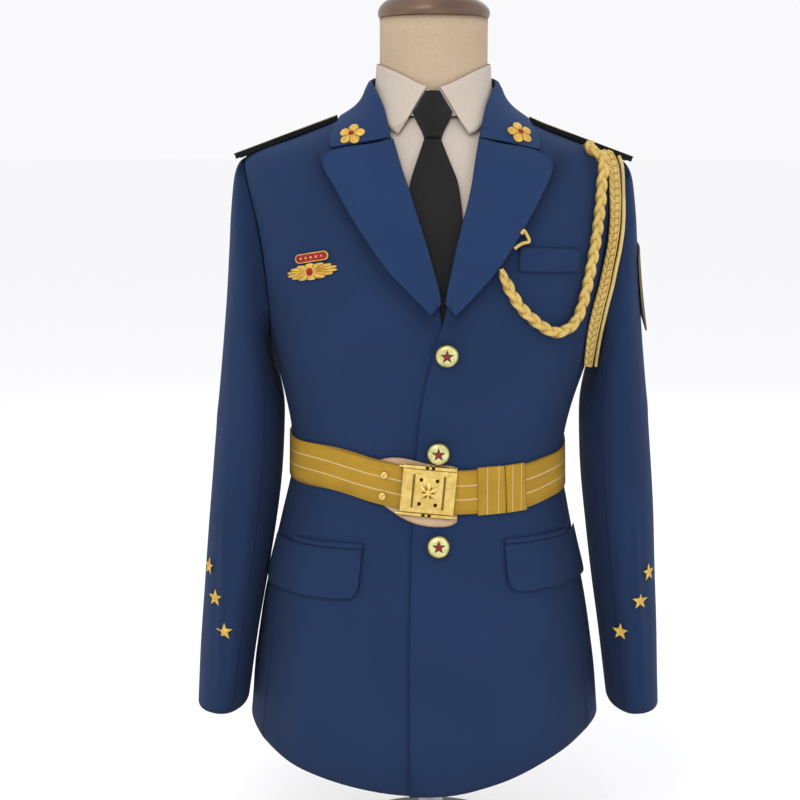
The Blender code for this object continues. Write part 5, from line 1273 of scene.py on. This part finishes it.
def makeBadge():
    # leaf spray with ribs spreading from its middle, under a red bar with a gold border and studs
    gold, red = Shape(), Shape()
    look = badge
    hollow, gap = look["hollow"], look["studStep"]
    spray = seatOf("badge_spray", look["tilt"])
    bar = seatOf("badge_bar", look["tilt"])
    waves = look["leaves"] / 2

    def leaves(s, t):
        return 0.0009 + 0.0014 * np.abs(np.cos(waves * t)) ** 0.6 * np.sin(np.pi * s ** 0.9) ** 0.7

    def ringTop(s, t):
        return 0.0026 + 0.0004 * (s > 0.75)

    outline = roundOutline(look["wide"], look["tall"], look["leaves"], look["notch"])
    addDome(gold, spray, outline, leaves, hollow=hollow, rings=22, low=grooves(waves, 0.4, 0.35, 0.25, 0.7))
    addDome(gold, spray, discOutline(look["ring"]), ringTop, 0.0006)
    addDome(red, spray, discOutline(look["centre"]), domeTop(0.0028, 0.0012), 0.0010)
    addDome(gold, bar, barOutline(*look["bar"]), evenTop(0.0014), hollow=hollow)
    addDome(red, bar, barOutline(*look["enamel"]), evenTop(0.0019), 0.0006, hollow)
    for step in (-2, -1, 0, 1, 2):
        place = bar[0] + bar[1] * step * gap - bar[3] * hollow * (step * gap) ** 2 / 2
        stud = (place, *bar[1:])
        addDome(gold, stud, discOutline(look["stud"], 24), domeTop(0.0019, 0.0008), 0.0010, rings=6)
    addPiece("badgeGold", gold.mesh("badgeGold"), starGold, ["badge_spray", "badge_bar"])
    addPiece("badgeRed", red.mesh("badgeRed"), redEnamel)


# Buckle plate: tilt, thickness, points each way, share of the solid's width, shift, sink, emblem
plate = {
    "tilt": 5.3, "thick": 0.0016, "count": 150, "narrow": 0.945, "shift": -0.0018, "sink": 0.0004,
    "emblem": 0.0118, "notch": 0.42, "centre": 0.0034,
}
# heights in metres of posts, grooves, panel, ribs, rails, seams and square holes
relief = {
    "post": 0.0006, "groove": 0.0010, "panel": 0.0006, "rib": 0.00016, "rail": 0.0008, "seam": 0.0006,
    "hole": 0.0012,
}
# square holes in the rails and round the emblem: across, up, half size, in half widths
plateHoles = [
    (-0.11, 0.92, 0.060), (0.11, 0.92, 0.060), (-0.11, -0.92, 0.060), (0.11, -0.92, 0.060),
    (-0.30, 0.46, 0.060), (0.30, 0.46, 0.060), (-0.30, -0.46, 0.060), (0.30, -0.46, 0.060),
]


def plateRelief(x, y):
    # rails above and below, posts and grooves at the sides, a ribbed panel and square holes
    side, above = np.abs(x), np.abs(y)
    rise = relief["post"] * smoothStep((side - 0.60) / 0.04) * smoothStep((0.97 - side) / 0.06)
    rise = rise - relief["post"] * smoothStep((side - 0.76) / 0.03) * smoothStep((0.84 - side) / 0.03)
    groove = smoothStep((0.045 - np.abs(side - 0.57)) / 0.02) * smoothStep((0.66 - above) / 0.03)
    rise = rise - relief["groove"] * groove
    panel = smoothStep((0.50 - side) / 0.03) * smoothStep((0.62 - above) / 0.03)
    rise = rise + panel * (relief["panel"] + relief["rib"] * np.sin(y * 80.0))
    rail = smoothStep((above - 0.84) / 0.02)
    seam = smoothStep((0.022 - np.abs(above - 0.83)) / 0.012)
    rise = rise * (1 - rail) + rail * relief["rail"] - seam * relief["seam"]
    hole = 0 * x
    for across, up, half in plateHoles:
        reach = np.maximum(np.abs(x - across), np.abs(y - up))
        hole = np.maximum(hole, smoothStep((half + 0.010 - reach) / 0.020))
    low = np.clip(hole + 0.75 * groove + 0.6 * seam, 0, 1)
    edge = smoothStep((1 - np.maximum(side, above)) / 0.05)
    return (rise - relief["hole"] * hole) * edge - 0.0006 * (1 - edge), low


def makePlate():
    # relief plate that follows the curve of its solid's outer face, n = quadric(x, y)
    place, across, up, out = seatOf("buckle_plate", plate["tilt"])
    points = pointsOf(cadNodes["buckle_plate"].data)
    offset = points - place
    x, y, n = offset @ across, offset @ up, offset @ out
    middleX, middleY = (x.min() + x.max()) / 2, (y.min() + y.max()) / 2
    place = place + (middleX + plate["shift"]) * across + middleY * up
    x, y = x - middleX - plate["shift"], y - middleY

    def terms(x, y):
        return np.stack([1 + 0 * x, x, y, x * x, x * y, y * y], axis=-1)

    keep = np.ones(len(x), dtype=bool)
    for _ in range(6):
        fit = np.linalg.lstsq(terms(x[keep], y[keep]), n[keep], rcond=None)[0]
        keep = n - terms(x, y) @ fit > -0.0002
    wide, tall = (x.max() - x.min()) / 2 * plate["narrow"], (y.max() - y.min()) / 2
    spread = np.linspace(-1, 1, plate["count"])
    gridX, gridY = np.meshgrid(spread, spread)
    rise, low = plateRelief(gridX, gridY)
    face = terms(gridX * wide, gridY * tall) @ fit - plate["sink"]

    def surface(height):
        level = (gridX * wide)[..., None] * across + (gridY * tall)[..., None] * up
        return place + level + height[..., None] * out

    front = surface(face + rise)
    back = surface(face - plate["thick"])
    shape = Shape()
    shape.add(np.concatenate([front, back[:, ::-1]], axis=1), None, np.concatenate([low, 0 * low], axis=1))
    centre = (place + (fit[0] - plate["sink"]) * out, across, up, out)

    def petals(s, t):
        return 0.0008 + 0.0026 * np.abs(np.cos(3 * t)) ** 0.6 * np.sin(np.pi * s ** 0.8) + 0.0008 * (1 - s)

    outline = roundOutline(plate["emblem"], plate["emblem"], 6, plate["notch"])
    addDome(shape, centre, outline, petals, rings=18, low=grooves(3, 0.42, 0.35, 0.25, 0.8))
    addDome(shape, centre, discOutline(plate["centre"]), domeTop(0.0032, 0.0011), 0.0010)
    for corner, rail in ((-1, 0.90), (-1, -0.90), (1, -0.90)):
        start = np.array([corner * 0.93, rail])
        flat = np.stack([start + np.array([corner * 0.24, 0.0]) * step for step in np.linspace(0, 1, 14)])
        height = terms(flat[:, 0] * wide, flat[:, 1] * tall) @ fit - 0.0009
        path = place + (flat[:, :1] * wide) * across + (flat[:, 1:] * tall) * up + height[:, None] * out
        radius = 0.0015 * np.sqrt(np.clip(1 - np.linspace(0, 0.98, 14) ** 6, 0.02, 1))
        grid, along = tubeGrid(path, radius, out, 16)
        shape.add(grid, along)
    addPiece("bucklePlate", shape.mesh("bucklePlate"), goldMetal, ["buckle_plate"])


# Rivets: radius, least height and rise of the dome
rivet = {"radius": 0.0042, "edge": 0.0008, "rise": 0.0011}


def makeRivets():
    # domed rivets with a slot across the middle
    shape = Shape()
    nodes = ["rivet_upper", "rivet_lower"]

    def slot(s, t):
        return smoothStep((0.10 - np.abs(s * np.sin(t - 0.5))) / 0.04) * smoothStep((0.55 - s) / 0.05)

    for node in nodes:
        addDome(shape, seatOf(node), discOutline(rivet["radius"]), domeTop(rivet["edge"], rivet["rise"]),
                rings=16, low=slot)
    addPiece("beltRivets", shape.mesh("beltRivets"), goldMetal, nodes)


def makeBoardTrim():
    # thin gold edging round the top of each shoulder board
    shape = Shape()
    table = np.array(boardWidths)
    startX, startZ = board["start"]
    acrossFrom, acrossReach = board["dropAcross"]
    upFrom, upReach = board["dropUp"]
    across = np.linspace(table[0, 0], table[-1, 0], board["steps"])
    half = np.interp(across, table[:, 0], table[:, 1]) - board["inset"]
    loopX = np.concatenate([across, across[::-1]])
    loopY = np.concatenate([half, -half[::-1]])
    height = startZ + board["slope"] * (loopX - startX) - board["sink"]
    lean = math.hypot(1, board["slope"])
    for side in (-1, 1):
        path = np.stack([side * loopX, loopY, height], axis=-1)
        outer = smoothStep((path[:, 0] - acrossFrom) / acrossReach)
        path[:, 2] -= board["drop"] * (outer * smoothStep((path[:, 2] - upFrom) / upReach))
        out = np.array([-side * board["slope"], 0.0, 1.0]) / lean
        path = path + out * (board["thick"] - 0.0001)
        path = np.concatenate([path, path[:1]])
        grid, along = tubeGrid(path, board["trim"], out, 8)
        shape.add(grid, along)
    addPiece("boardTrim", shape.mesh("boardTrim", cordSharp), trimCord)


makeButtons()
makeStars()
makeDevices()
makeBadge()
makePlate()
makeRivets()
makeBoardTrim()
print("stage: metal and trim")
